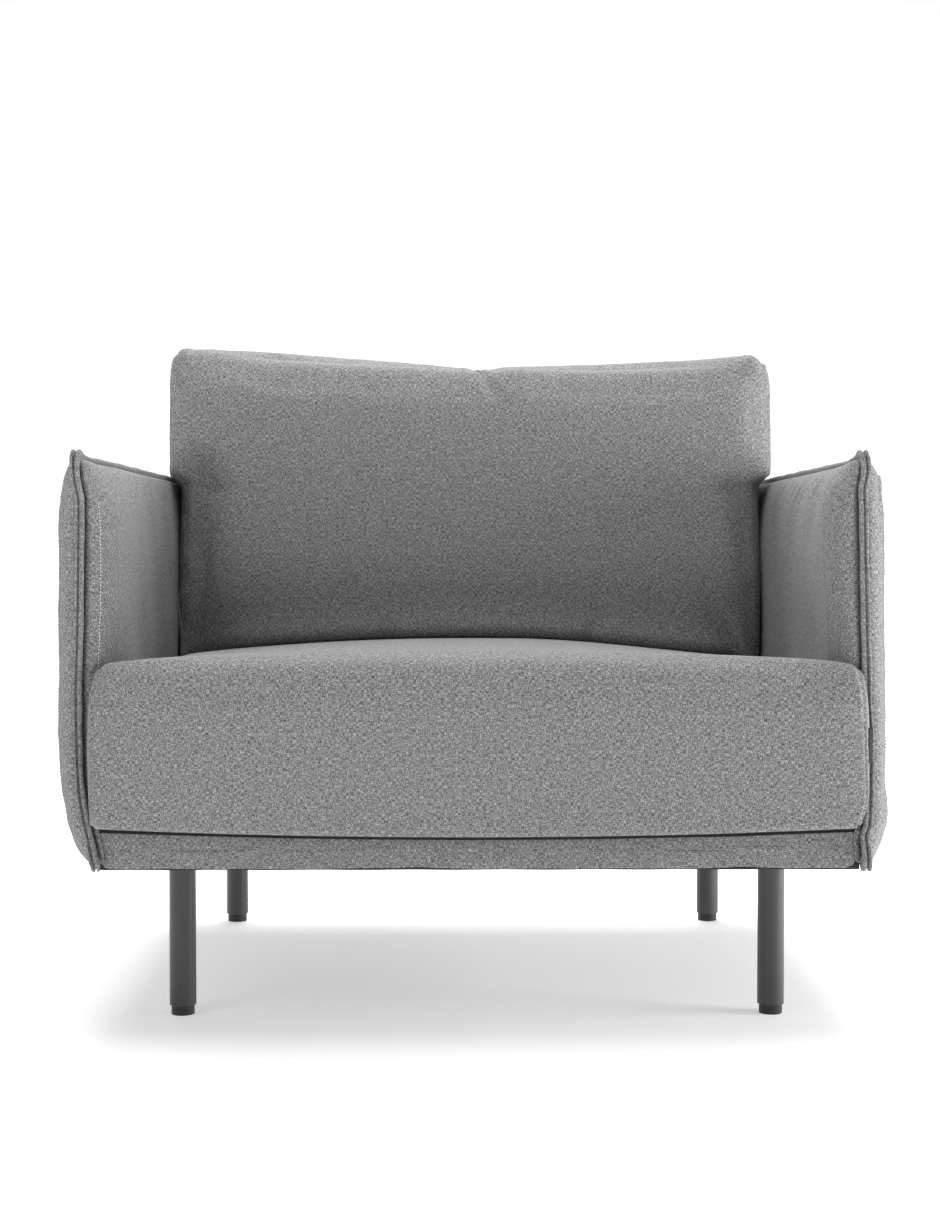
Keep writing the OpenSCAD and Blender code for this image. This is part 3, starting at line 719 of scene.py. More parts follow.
def tuck_edge(flat, rise):
    """How a half's padding rises from the flat skin."""
    return spline([(0.0, flat), (0.004, flat + rise), (0.012, 0.80), (0.026, 0.93), (0.045, 1.0)], 4)


def rising_lines(root_lo, root_hi, pad_low, flat, tuck):
    """Lines up a half that is flat skin below a height and padded above: them, and how many are skin."""
    low, _ = skin_edge(root_lo, flat)
    skin = skin_lines(low[-1, 0], pad_low, flat)
    padded = panel_lines(pad_low, root_hi, tuck, FOLDED_EDGE)
    return np.vstack([low, skin, padded]), len(low) + len(skin)


def flatten(uvw, u_lines, v_lines, skin, flat, full):
    """Lays the skin part of a half down flat."""
    flat_w = np.minimum(np.minimum(u_lines[:, None, 1], v_lines[None, :, 1]), flat) * full
    uvw[..., 2] = np.where(skin, flat_w, uvw[..., 2])
    return uvw


def arm(side, name):
    """An arm panel's covers, foam, flange and stitching."""
    lo, hi = (FRONT, FOOT), (REAR, HEAD)
    root_lo, root_hi = np.array(lo) + FLANGE, np.array(hi) - FLANGE
    u = panel_lines(root_lo[0], root_hi[0], FLUSH_EDGE, FLUSH_EDGE)
    v = panel_lines(root_lo[1], root_hi[1], FLUSH_EDGE, SLOPED_EDGE)
    outer_uvw = pulled(pillow(u, v, pillow_hi.x - SEAM_X, 11 + side), lo, hi)
    outer = arm_points(side, True, outer_uvw)
    cover_half("arm_cover_outer_" + name, outer, (side, 0, 0))
    slab("arm_pad_outer_" + name, outer[14:-14, 14:-14], 0, side * (board_hi.x + 0.0002))
    inner_uvw, rows, columns = inner_pillow(root_lo, root_hi, 21 + side)
    inner_uvw = pulled(inner_uvw, lo, hi)
    inner = arm_points(side, False, inner_uvw)
    cover_half("arm_cover_inner_" + name, inner, (-side, 0, 0))
    slab("arm_pad_inner_" + name, inner[rows, columns], 0, side * (board_lo.x - 0.0002))
    flange("arm_flange_" + name, lo, hi, lambda p: arm_points(side, False, p), 31 + side)
    # The left arm's front row takes the light thread: a painted highlight on the same thread that the
    # other rows use.
    front_row_thread = "thread" if side < 0 else "dull_thread"
    arm_stitching(name + "_front", inner_uvw, inner, 0.021, (-side, 0, 0), front_row_thread)
    arm_stitching(name + "_behind", inner_uvw, inner, 0.068, (-side, 0, 0), "dull_thread")
    arm_stitching(name + "_outer", outer_uvw, outer, 0.036, (side, 0, 0), "dull_thread")


def inner_pillow(root_lo, root_hi, seed):
    """The arm's inner half: padded above the base and ahead of the back, a flat skin elsewhere."""
    flat = SKIN / FULL
    tuck = tuck_edge(flat, 0.25)
    pad_low, pad_rear = seat_lo.z + 0.0015, back_pad_lo.y - 0.005
    v, below = rising_lines(root_lo[1], root_hi[1], pad_low, flat, tuck)
    low_edge = skin_edge(0.0, flat)[1]
    u_rear = low_edge[::-1] * (-1, 1) + (root_hi[0], 0)
    u_pad = panel_lines(root_lo[0], pad_rear, FOLDED_EDGE, tuck)
    u = np.vstack([u_pad, skin_lines(pad_rear, u_rear[0, 0], flat), u_rear])
    uvw = pillow(u, v, FULL, seed)
    skin = (uvw[..., 0] > pad_rear) | (uvw[..., 1] < pad_low)
    uvw = flatten(uvw, u, v, skin, flat, FULL)
    return uvw, slice(17, len(u_pad) - 2), slice(below + 2, len(v) - 17)


def arm_stitching(name, uvw, points, behind, push, thread):
    """A row of topstitching up an arm's face, at a distance behind its front seam."""
    row = int(np.argmin(np.abs(uvw[:, uvw.shape[1] // 2, 0] - FRONT - behind)))
    heights = uvw[row, :, 1]
    keep = (heights > seat_lo.z + 0.02) & (heights < HEAD - 0.05)
    stitches = stitch_row("arm_stitches_" + name, points[row][keep], push, 0.0038, 0.0023, 0.0006)
    dress(stitches, "frame", "cover_fabric", look=thread)


def grid_piece(name, points, toward):
    """A skin over a grid of points, facing the way it is told."""
    rows, columns = points.shape[:2]
    faces = np.array(grid_faces(rows, columns))
    flat = points.reshape(-1, 3)
    a, b, c, d = (flat[faces[:, k]] for k in range(4))
    facing = np.cross(c - a, d - b).sum(0) @ np.array(toward)
    if facing < 0:
        faces = faces[:, ::-1]
    return mesh_object(name, flat, faces.tolist())


def thick_part(deep):
    """The rows and columns within which a slab is thick enough to be foam."""
    r0, r1, c0, c1 = 0, deep.shape[0], 0, deep.shape[1]
    while True:
        edges = [deep[r0, c0:c1].min(), deep[r1 - 1, c0:c1].min(),
                 deep[r0:r1, c0].min(), deep[r0:r1, c1 - 1].min()]
        worst = int(np.argmin(edges))
        if edges[worst] > 0.0004:
            return slice(r0, r1), slice(c0, c1)
        r0, r1 = r0 + (worst == 0), r1 - (worst == 1)
        c0, c1 = c0 + (worst == 2), c1 - (worst == 3)


def slab(name, front, axis, plane):
    """The foam behind a cover: from the board's face to just under the cloth."""
    rows, columns = front.shape[:2]
    sign = np.sign(front[rows // 2, columns // 2, axis] - plane)
    deep = sign * (front[..., axis] - plane) - 0.0035
    part = thick_part(deep)
    front, deep = front[part].copy(), deep[part]
    rows, columns = front.shape[:2]
    back = front.copy()
    back[..., axis] = plane
    front[..., axis] = plane + sign * np.maximum(deep, 0.0002)
    ids = np.arange(rows * columns).reshape(rows, columns)
    faces = grid_faces(rows, columns)
    base = rows * columns
    faces += [[base + i for i in f][::-1] for f in faces]
    rim = np.concatenate([ids[:, 0], ids[-1, 1:], ids[-2::-1, -1], ids[0, -2:0:-1]])
    for a, b in zip(rim, np.roll(rim, -1)):
        faces.append([b, a, base + a, base + b])
    piece = mesh_object(name + "_foam", np.vstack([front.reshape(-1, 3), back.reshape(-1, 3)]), faces)
    outward(piece)
    dress(piece, "frame", "foam", name, fill=1.0)


# A stitch's shape: (share of its length, share of its radius), and how many sides it has.
SPINDLE = ((0.0, 0.25), (0.2, 0.85), (0.5, 1.0), (0.8, 0.85), (1.0, 0.25))
STITCH_SIDES = 6


def stitch(start, end, up, radius):
    """The rings of one stitch: a thin spindle lying on the cloth."""
    across = Vector(end - start).normalized().cross(up).normalized()
    rings = []
    for t, r in SPINDLE:
        middle = Vector(start * (1 - t) + end * t) + up * radius * 0.6 * r
        for k in range(STITCH_SIDES):
            turn = 2 * math.pi * k / STITCH_SIDES
            rings.append(middle + (across * math.cos(turn) + up * math.sin(turn)) * radius * r)
    return rings


def stitch_row(name, line, push, pitch, length, radius):
    """Short stitches of thread along a line."""
    line = np.asarray(line, float)
    step = np.linalg.norm(np.diff(line, axis=0), axis=1)
    run = np.concatenate([[0], np.cumsum(step)])
    up = Vector(push).normalized()
    around, tall = STITCH_SIDES, len(SPINDLE)
    points, faces = [], []
    for s in np.arange(pitch, run[-1] - pitch, pitch):
        start, end = (np.array([np.interp(s + d, run, line[:, k]) for k in range(3)]) for d in (0, length))
        ids = np.arange(tall * around).reshape(tall, around) + len(points)
        points += stitch(start, end, up, radius)
        faces += [tuple(ids[0][::-1]), tuple(ids[-1])]
        for a, b in zip(ids[:-1], ids[1:]):
            for k in range(around):
                j = (k + 1) % around
                faces.append((a[k], a[j], b[j], b[k]))
    return mesh_object(name, points, faces)


def back_points(rearward, uvw):
    """Places a pillow's points on the back panel: u runs across and v up."""
    u, v, w = uvw[..., 0], uvw[..., 1], uvw[..., 2]
    return np.stack([u, BACK_Y + (w if rearward else -w), v], -1)


def back_panel():
    """The covers, foam and flange of the panel behind the back cushion."""
    wider = 0.0020
    lo, hi = (back_lo.x - wider, back_lo.z), (back_hi.x + wider, back_hi.z)
    root_lo, root_hi = np.array(lo) + FLANGE, np.array(hi) - FLANGE
    board_near, board_far = (corner.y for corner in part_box("back_board"))
    u = panel_lines(root_lo[0], root_hi[0], FLUSH_EDGE, FLUSH_EDGE)
    v = panel_lines(root_lo[1], root_hi[1], FLUSH_EDGE, FLUSH_EDGE)
    points = back_points(True, pulled(pillow(u, v, BACK_FULL, 41), lo, hi))
    cover_half("back_cover_rear", points, (0, 1, 0))
    slab("back_pad_rear", points[14:-14, 14:-14], 1, board_far + 0.0002)
    flat = (BACK_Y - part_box("rail_rear")[1].y - 0.0002) / BACK_FULL
    pad_low = seat_lo.z + 0.0015
    v, below = rising_lines(root_lo[1], root_hi[1], pad_low, flat, tuck_edge(flat, 0.2))
    u = panel_lines(root_lo[0], root_hi[0], FOLDED_EDGE, FOLDED_EDGE)
    uvw = pillow(u, v, BACK_FULL, 43)
    uvw = flatten(uvw, u, v, uvw[..., 1] < pad_low, flat, BACK_FULL)
    points = back_points(False, pulled(uvw, lo, hi))
    cover_half("back_cover_front", points, (0, -1, 0))
    slab("back_pad_front", points[17:-17, below + 2 : -17], 1, board_near - 0.0002)
    flange("back_flange", lo, hi, lambda p: back_points(True, p), 45)


# ---------------------------------------------------------------- cushions

# Folds in the back cushion's face: start, end, width and how far out (or in) they stand.
CUSHION_FOLDS = (
    ((0.006, 0.828), (0.034, 0.768), 0.007, -0.007),
    ((-0.055, 0.830), (-0.078, 0.785), 0.010, -0.003),
    ((0.068, 0.828), (0.074, 0.765), 0.008, 0.004),
    ((0.115, 0.830), (0.125, 0.780), 0.009, -0.0035),
    ((-0.412, 0.404), (-0.374, 0.480), 0.007, 0.009),
    ((-0.411, 0.404), (-0.419, 0.490), 0.007, 0.008),
    ((-0.395, 0.425), (-0.372, 0.560), 0.009, -0.006),
    ((-0.130, 0.432), (-0.112, 0.470), 0.007, -0.004),
    ((0.150, 0.432), (0.176, 0.480), 0.008, -0.004),
    ((0.412, 0.404), (0.368, 0.485), 0.009, 0.012),
    ((0.372, 0.420), (0.318, 0.520), 0.011, -0.006),
)


def cloth_copy(piece, voxel):
    """An evenly meshed copy of a piece, ready for the cloth simulation."""
    copy = bpy.data.objects.new("swelling", piece.data.copy())
    bpy.context.scene.collection.objects.link(copy)
    bpy.context.view_layer.objects.active = copy
    copy.select_set(True)
    remesh = copy.modifiers.new("remesh", "REMESH")
    remesh.mode = "VOXEL"
    remesh.voxel_size = voxel
    bpy.ops.object.modifier_apply(modifier="remesh")
    return copy


def blow_up(copy, pressure, frames):
    """Simulates a copy as cloth with air inside it."""
    cloth = copy.modifiers.new("cloth", "CLOTH")
    cloth.settings.use_pressure = True
    cloth.settings.uniform_pressure_force = pressure
    cloth.settings.effector_weights.gravity = 0
    cloth.settings.quality = 5
    cloth.settings.tension_stiffness = 18
    cloth.settings.compression_stiffness = 18
    cloth.settings.bending_stiffness = 0.6
    cloth.point_cache.frame_end = frames
    for step in range(1, frames + 1):
        bpy.context.scene.frame_set(step)
    bpy.ops.object.modifier_apply(modifier="cloth")


def swell(piece, voxel, pressure, frames, cap, hold):
    """Blows a copy up as cloth and moves the piece's points as the copy's near ones moved."""
    copy = cloth_copy(piece, voxel)
    before = places(copy)
    blow_up(copy, pressure, frames)
    moved = places(copy) - before
    far = np.linalg.norm(moved, axis=1, keepdims=True)
    moved *= np.minimum(1, cap / np.maximum(far, 1e-9))
    tree = KDTree(len(before))
    for i, p in enumerate(before):
        tree.insert(p, i)
    tree.balance()
    points = places(piece)
    shift = np.zeros_like(points)
    for i, p in enumerate(points):
        near = tree.find_n(p, 4)
        weight = np.array([1 / (d + 1e-4) for _, _, d in near])
        ids = [k for _, k, _ in near]
        shift[i] = (moved[ids] * weight[:, None]).sum(0) / weight.sum()
    put(piece, points + shift * hold(points)[:, None])
    bpy.data.objects.remove(copy)
    bpy.context.scene.frame_set(1)


def profile_normals(line):
    """The way out all round a closed line."""
    run = np.roll(line, -1, 0) - np.roll(line, 1, 0)
    return np.stack([run[:, 1], -run[:, 0]], 1) / np.linalg.norm(run, axis=1, keepdims=True)


def cushion_rings(profile, width_at, edge_r, drop, seam_at, size):
    """Rings across a cushion, each the side profile drawn in towards the cushion's sides.

    width_at(y, z) is the half width, edge_r(y, z) the radius of the side edges, drop(x, y, z) how
    far a point goes down. seam_at is the angle round the edge at which the seam runs.
    Returns the rings and the numbers of the rings on the two seams.
    """
    y, z = profile.T
    out = profile_normals(profile)
    half, radius = width_at(y, z), edge_r(y, z)
    turns = np.radians(np.linspace(0, 90, 13))
    span = (half - radius).mean()
    flat = steps(-span, span, size)[1:-1] / span
    spine_y = np.clip(y, y.min() + 0.07, y.max() - 0.07)
    spine_z = np.full_like(z, (z.min() + z.max()) / 2)
    edge_y, edge_z = y - out[:, 0] * radius, z - out[:, 1] * radius
    half_rings = []
    for inward in (0.10, 0.2, 0.32, 0.45, 0.58, 0.7, 0.8, 0.88, 0.94):
        bulge = 0.006 * (1 - inward**2)
        side_y = spine_y + (edge_y - spine_y) * inward
        half_rings.append((half + bulge, side_y, spine_z + (edge_z - spine_z) * inward))
    for turn in turns[::-1]:
        x = half - radius + radius * np.sin(turn)
        inset = radius * (1 - np.cos(turn))
        half_rings.append((x, y - out[:, 0] * inset, z - out[:, 1] * inset))
    seam = len(half_rings) - 1 - int(np.argmin(np.abs(np.degrees(turns) - seam_at)))
    rings = [np.stack([-x, b, c], -1) for x, b, c in half_rings]
    rings += [np.stack([(half - radius) * f, y, z], -1) for f in flat]
    rings += [np.stack([x, b, c], -1) for x, b, c in half_rings[::-1]]
    rings = np.array(rings)
    rings[..., 2] -= drop(rings[..., 0], rings[..., 1], rings[..., 2])
    return rings, (seam, len(rings) - 1 - seam)


def sink_seams(piece, rings_shape, seams, depth, puckers, seed):
    """Draws the cloth in along the seams, with small puckers running off them."""
    count, around = rings_shape[:2]
    points, n = places(piece), normals(piece)
    grid = points[: count * around].reshape(count, around, 3)
    away = np.zeros((count, around))
    unevenness = ripple(grid, 0.028, seed)
    for seam in seams:
        distance = np.linalg.norm(grid - grid[seam][None], axis=-1)
        away += -depth * bump(distance, 0, 0.0022)
        away += puckers * unevenness * bump(distance, 0.012, 0.012)
    flat = np.zeros(len(points))
    flat[: count * around] = away.ravel()
    put(piece, points + n * flat[:, None])


def hang_nose(points, low, nose):
    """Lets the seat's front edge hang over the base, lowest in the middle, with its corners drawn in."""
    x, y, z = points.T
    nose_part = smooth((band_lo.y - 0.001 - y) / 0.012) * (1 - smooth((z - low) / 0.10))
    across = np.clip(1 - (x / nose) ** 2, 0, 1)
    points[:, 2] -= NOSE_SAG * across * nose_part
    corner = 1 - smooth((z - low) / 0.032)
    points[:, 0] -= np.where(x > 0.3, 0.009, -0.002) * corner * (np.abs(x) > 0.3)


def seat_cushion():
    """The loose seat cushion: its cover, foam, topper and zip. Returns the cover."""
    rear, front = seat_hi.y, seat_lo.y
    low, top = seat_lo.z, seat_hi.z
    profile = round_outline((front, low), (rear, top), (0.007, 0.016, 0.024, 0.048), GRID)
    side = inner_lo.x - 0.003
    nose = seat_hi.x

    def width_at(y, z):
        return side + (nose - 0.0005 - side) * smooth((-0.372 - y) / 0.040)

    def edge_r(y, z):
        return 0.008 + 0.008 * smooth((z - low) / (top - low) * 1.6 - 0.5)

    def drop(x, y, z):
        upper = smooth((z - low - 0.05) / (top - low - 0.05))
        return upper * (top - seat_crown(x, y))

    rings, seams = cushion_rings(profile, width_at, edge_r, drop, 38, 0.008)
    seat = tube("seat_cushion_cover", rings)
    swell(seat, 0.009, 1.5, 14, 0.003, lambda p: smooth((p[:, 2] - low - 0.01) / 0.06))
    points = places(seat)
    hang_nose(points, low, nose)
    spread(points, smooth((points[:, 2] - low) / 0.03))
    flat_zip(points, rear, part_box("seat_zip"))
    keep_inside(points, side)
    put(seat, points)
    sink_seams(seat, rings.shape, seams, 0.0022, 0.0005, 51)
    dress(seat, "seat_cushion", "cover_fabric", "seat_cover", fill=0.9)
    cut_z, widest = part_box("seat_foam")[1].z, inner_lo.x - 0.011
    core = inner_copy(seat, "seat_foam", 0.006, cut_z, True, widest)
    dress(core, "seat_cushion", "foam", "seat_foam", fill=1.0)
    topper = inner_copy(seat, "seat_topper", 0.006, cut_z, False, widest)
    dress(topper, "seat_cushion", "fibre_fill", "seat_topper", fill=0.8)
    zip_pieces("seat", "seat_cushion", "seat_slider")
    return seat


def spread(points, share):
    """Widens a cushion towards its back, where the arms give way."""
    x, y, _ = points.T
    left = REAR_GIVE[0] * smooth((-x - 0.2) / 0.2)
    right = REAR_GIVE[1] * smooth((x - 0.2) / 0.2)
    points[:, 0] += (right - left) * toe_out(y) * share


def flat_zip(points, rear, box):
    """Flattens the cloth round a zip on a rear face."""
    lo, hi = box
    middle = (lo.z + hi.z) / 2
    near = bump(points[:, 2], middle, 0.03) * (np.abs(points[:, 0]) < hi.x + 0.03)
    back = points[:, 1] > rear - 0.05
    points[:, 1] = np.where(back, np.minimum(points[:, 1], rear + 0.006), points[:, 1])
    points[:, 1] = np.where(back, points[:, 1] * (1 - near) + (rear - 0.0006) * near, points[:, 1])


def keep_inside(points, side):
    """Between the arms a cushion's sides stay clear of them."""
    x, y, z = points.T
    above = smooth((z - 0.650) / 0.018)
    right = side + REAR_GIVE[1] * toe_out(y)
    left = side + REAR_GIVE[0] * toe_out(y)
    right = right + (0.4255 - right) * above
    left = left + (0.4345 - left) * above
    between = y > -0.366
    points[:, 0] = np.where(between, np.clip(x, -left, right), x)


def inner_copy(piece, name, inset, cut_z=None, below=True, widest=1.0):
    """What fills a cover: its shape drawn in, no wider than told, and cut off level at a height."""
    work = bmesh.new()
    work.from_mesh(piece.data)
    work.normal_update()
    corners = np.array([v.co for v in work.verts])
    core_lo, core_hi = corners.min(axis=0) + 0.07, corners.max(axis=0) - 0.07
    for vert in work.verts:
        core = Vector(np.clip(vert.co, core_lo, core_hi))
        vert.co -= (vert.co - core).normalized() * inset
        vert.co.x = float(np.clip(vert.co.x, -widest, widest))
    if cut_z is not None:
        whole = work.verts[:] + work.edges[:] + work.faces[:]
        level = {"plane_co": (0, 0, cut_z), "plane_no": (0, 0, 1)}
        cut = bmesh.ops.bisect_plane(work, geom=whole, clear_outer=below, clear_inner=not below, **level)
        edges = [e for e in cut["geom_cut"] if isinstance(e, bmesh.types.BMEdge)]
        bmesh.ops.triangle_fill(work, edges=edges, use_beauty=True)
    mesh = bpy.data.meshes.new(name)
    work.to_mesh(mesh)
    work.free()
    made = bpy.data.objects.new(name + "_filling", mesh)
    bpy.context.scene.collection.objects.link(made)
    return made


def crease(points, out, start, end, width, depth):
    """Folds a cushion's face out (or in) along a line of (x, z), fading at both ends."""
    a, b = np.array(start), np.array(end)
    way = b - a
    at = points[:, [0, 2]]
    t = np.clip((at - a) @ way / (way @ way), 0, 1)
    away = np.linalg.norm(at - a - t[:, None] * way, axis=1)
    ends = np.sin(np.clip(t, 0.02, 0.98) * np.pi) ** 0.5
    front = smooth((-out[:, 1] - 0.1) / 0.3)
    return points + out * (depth * bump(away, 0, width) * ends * front)[:, None]


def back_cushion(seat):
    """The loose back cushion: its cover, filling and zip."""
    face, rear, low, top = cushion_lo.y, cushion_hi.y, cushion_lo.z, cushion_hi.z
    side = inner_lo.x - 0.0008
    outline = round_outline((face, low), (rear, top), (0.016, 0.022, 0.055, 0.045), GRID)
    rise = (outline[:, 1] - low) / (top - low)
    ahead = (rear - outline[:, 0]) / (rear - face)
    outline[:, 0] += BACK_LEAN * rise * ahead

    def width_at(y, z):
        above = smooth((z - 0.650) / 0.018)
        head = smooth((z - 0.70) / 0.14)
        return side + 0.009 + 0.0178 * above - 0.004 * head

    def edge_r(y, z):
        return 0.014 + 0.008 * smooth((z - low - 0.05) / 0.2)

    def drop(x, y, z):
        upper = smooth((z - low - 0.22) / (top - low - 0.22))
        return upper * (top - crest(x))

    rings, seams = cushion_rings(outline, width_at, edge_r, drop, 50, 0.0065)
    rings[..., 0] -= 0.0048 * smooth((np.abs(rings[..., 0]) - 0.2) / 0.2)
    cushion = tube("back_cushion_cover", rings)
    swell(cushion, 0.008, 3.0, 16, 0.008, lambda p: 0.3 + 0.7 * smooth((p[:, 2] - low) / 0.12))
    points, out = places(cushion), normals(cushion)
    points = level_crest(points)
    points[:, 1] += face_fall(points, face, rear)
    for start, end, width, depth in CUSHION_FOLDS:
        points = crease(points, out, start, end, width, depth)
    settle(points, seat, low)
    flat_zip(points, rear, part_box("back_zip"))
    keep_inside(points, side)
    put(cushion, points)
    sink_seams(cushion, rings.shape, seams, 0.0020, 0.0010, 61)
    dress(cushion, "back_cushion", "cover_fabric", "back_cushion_cover", fill=0.7)
    filling = inner_copy(cushion, "back_cushion", 0.007)
    dress(filling, "back_cushion", "fibre_fill", "back_cushion_fill", fill=0.7)
    zip_pieces("back", "back_cushion", "back_slider")


def face_fall(points, face, rear):
    """How far the back cushion's face rounds away towards its sides, between the arms."""
    x, y, z = points.T
    left = 0.034 * smooth((-x - 0.315) / 0.105) ** 1.5
    right = 0.026 * smooth((x - 0.330) / 0.090) ** 1.5
    between = 1 - 0.7 * smooth((z - 0.60) / 0.10)
    ahead = np.clip((rear - y) / (rear - face), 0, 1)
    corner = 0.020 * smooth((0.53 - z) / 0.09) * smooth((np.abs(x) - 0.27) / 0.13)
    return (left + right + corner) * between * ahead


def crest(x):
    """The height of the back cushion's top: slack in the middle, with higher corners."""
    line = [(-0.450, 0.834), (-0.434, 0.840), (-0.420, 0.846), (-0.400, 0.8485), (-0.340, 0.8475),
            (-0.275, 0.843), (-0.209, 0.839), (-0.143, 0.834), (-0.077, 0.8285), (-0.020, 0.823),
            (0.007, 0.820), (0.030, 0.8215), (0.054, 0.824), (0.142, 0.827), (0.230, 0.830),
            (0.317, 0.834), (0.383, 0.839), (0.403, 0.839), (0.418, 0.833), (0.45, 0.825)]
    return along(line, x)


def level_crest(points):
    """Brings the swollen cushion's top back to its crest line."""
    bins = np.clip(((points[:, 0] + 0.45) / 0.9 * 60).astype(int), 0, 59)
    high = np.full(60, -1.0)
    np.maximum.at(high, bins, points[:, 2])
    middle = (np.arange(60) + 0.5) / 60 * 0.9 - 0.45
    known = high > 0.7
    now = np.interp(points[:, 0], middle[known], high[known])
    upper = smooth((points[:, 2] - 0.62) / 0.18)
    points[:, 2] += upper * (crest(points[:, 0]) - now)
    return points


def settle(points, seat, low):
    """Lets the cushion's underside follow the seat that it stands on."""
    tree = BVHTree.FromPolygons(places(seat).tolist(), [tuple(p.vertices) for p in seat.data.polygons])
    for i in np.nonzero(points[:, 2] < low + 0.11)[0]:
        x, y, z = points[i]
        hit = tree.ray_cast(Vector((x, y, 0.6)), Vector((0, 0, -1)))[0]
        if hit is None:
            continue
        level = max(hit.z, float(seat_crown(x, y)) - 0.004)
        fall = (low - level) * (1 - smooth((z - low - 0.01) / 0.10))
        points[i, 2] = max(z - fall, level) + 0.0012


def seat_crown(x, y):
    """The height of the seat's top: highest across its middle, a little ahead of halfway."""
    crest_y = -0.22
    back = smooth((y + 0.42) / 0.25)
    side_fall = 0.009 + 0.016 * back
    crown = side_fall * np.clip(np.abs(x) / (inner_lo.x - 0.003), 0, 1.1) ** 2.2
    rear_fall = 0.0115 * np.clip((y - crest_y) / (cushion_lo.y - crest_y), 0, 1.25) ** 2
    front_fall = 0.003 * np.clip((crest_y - y) / (crest_y - seat_lo.y), 0, 1) ** 2
    right_fall = 0.007 * smooth((x - 0.05) / 0.25) * back
    return seat_hi.z - crown - rear_fall - front_fall - right_fall


# ---------------------------------------------------------------- zips and tag


def block_mesh(lo, hi, bevel):
    """Points and faces of a box with its edges cut back, for small hardware."""
    work = bmesh.new()
    bmesh.ops.create_cube(work, size=1)
    for vert in work.verts:
        vert.co = [a + (b - a) * (c + 0.5) for a, b, c in zip(lo, hi, vert.co)]
    bmesh.ops.bevel(work, geom=work.edges[:], offset=bevel, segments=2, affect="EDGES", profile=0.6)
    points = [v.co.copy() for v in work.verts]
    work.verts.index_update()
    faces = [[v.index for v in f.verts] for f in work.faces]
    work.free()
    return points, faces


def joined(name, parts):
    """One piece made of several blocks."""
    points, faces = [], []
    for part_points, part_faces in parts:
        base = len(points)
        points += list(part_points)
        faces += [[base + i for i in f] for f in part_faces]
    return mesh_object(name, points, faces)


def zip_teeth(lo, hi, y, middle):
    """The meshed teeth of a closed zip, standing by turns above and below its middle."""
    pitch = 0.0025
    teeth = []
    for i in range(int((hi.x - lo.x - 0.012) / pitch)):
        x = lo.x + 0.006 + i * pitch
        up = 1 if i % 2 else -1
        z0, z1 = sorted((middle - up * 0.0006, middle + up * 0.0019))
        teeth.append(block_mesh((x - 0.0009, y - 0.0003, z0), (x + 0.0009, y + 0.0013, z1), 0.0003))
    return teeth


def zip_slider(lo, hi, y, middle):
    """A slider's plates, cheeks and bridge, and its pull hanging down."""
    x0, x1, top_y = lo.x, hi.x, hi.y
    mid_x = (x0 + x1) / 2
    cuts = (
        (x0, x1, y + 0.0022, y + 0.0036, middle - 0.0044, middle + 0.0044, 0.0006),
        (x0, x1, y + 0.0003, y + 0.0030, middle + 0.0026, middle + 0.0044, 0.0004),
        (x0, x1, y + 0.0003, y + 0.0030, middle - 0.0044, middle - 0.0026, 0.0004),
        (x0 + 0.003, x1 - 0.003, y + 0.0030, top_y, middle - 0.001, middle + 0.001, 0.0004),
        (mid_x - 0.0025, mid_x + 0.0025, top_y - 0.0015, top_y, lo.z + 0.004, middle + 0.001, 0.0005),
        (mid_x - 0.0032, mid_x + 0.0032, top_y - 0.0018, top_y, lo.z, lo.z + 0.007, 0.0007),
    )
    return [block_mesh((a, c, e), (b, d, f), bevel) for a, b, c, d, e, f, bevel in cuts]


def zip_pieces(name, body, slider_body):
    """A cushion's zip: two tapes, the chain of teeth, and the slider with its pull."""
    lo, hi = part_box(name + "_zip")
    middle = (lo.z + hi.z) / 2
    y = hi.y - 0.0016
    tapes = [
        block_mesh((lo.x, y - 0.0012, lo.z), (hi.x, y - 0.0002, middle - 0.0004), 0.0002),
        block_mesh((lo.x, y - 0.0012, middle + 0.0004), (hi.x, y - 0.0002, hi.z), 0.0002),
    ]
    dress(joined(name + "_zip_tape", tapes), body, "zip_tape", name + "_zip")
    dress(joined(name + "_zip_teeth", zip_teeth(lo, hi, y, middle)), body, "zip_metal")
    slider = zip_slider(*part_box(name + "_zip_slider"), y, middle)
    dress(joined(name + "_zip_slider_and_pull", slider), slider_body, "zip_metal", name + "_zip_slider")


def seat_tag():
    """A plain woven loop, folded over, sewn into the side seam."""
    lo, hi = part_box("seat_tag")
    loop = spline([(0.0, -0.0006), (0.004, -0.0011), (0.0062, -0.0010), (0.0070, 0.0), (0.0062, 0.0010),
                   (0.004, 0.0011), (0.0, 0.0006)], 4)
    slant = math.radians(40)
    rings = []
    for z in steps(lo.z, hi.z, 0.003):
        curl = 0.0005 * math.sin((z - lo.z) * 130)
        ring = []
        for u, v in loop:
            across = v + curl * u / 0.008
            x = lo.x - 0.0012 + u * math.cos(slant) - across * math.sin(slant)
            ring.append((x, lo.y - 0.0045 + u * math.sin(slant) + across * math.cos(slant), z))
        rings.append(ring)
    dress(tube("seat_side_tag", rings), "seat_cushion", "tag_tape", "seat_tag")


# ---------------------------------------------------------------- base and legs


def soft_front(outline, spine, near, depth, turn_r):
    """Rings from a band's back edge, round its edge radius and in over its face to its spine."""
    out = profile_normals(outline)
    rings = [(0.0, back) for back in np.linspace(depth, turn_r, 4)]
    for turn in np.radians(np.linspace(0, 90, 7))[1:]:
        rings.append((turn_r * (1 - math.cos(turn)), turn_r * (1 - math.sin(turn))))
    stack = []
    for inset, back in rings:
        edge = outline - out * inset
        stack.append(np.stack([edge[:, 0], np.full(len(edge), near + back), edge[:, 1]], -1))
    drawn = outline - out * turn_r
    for share in (0.85, 0.65, 0.45, 0.25, 0.1):
        p = spine + (drawn - spine) * share
        y = np.full(len(p), near) - 0.0012 * (1 - share**2)
        stack.append(np.stack([p[:, 0], y, p[:, 1]], -1))
    return np.array(stack)


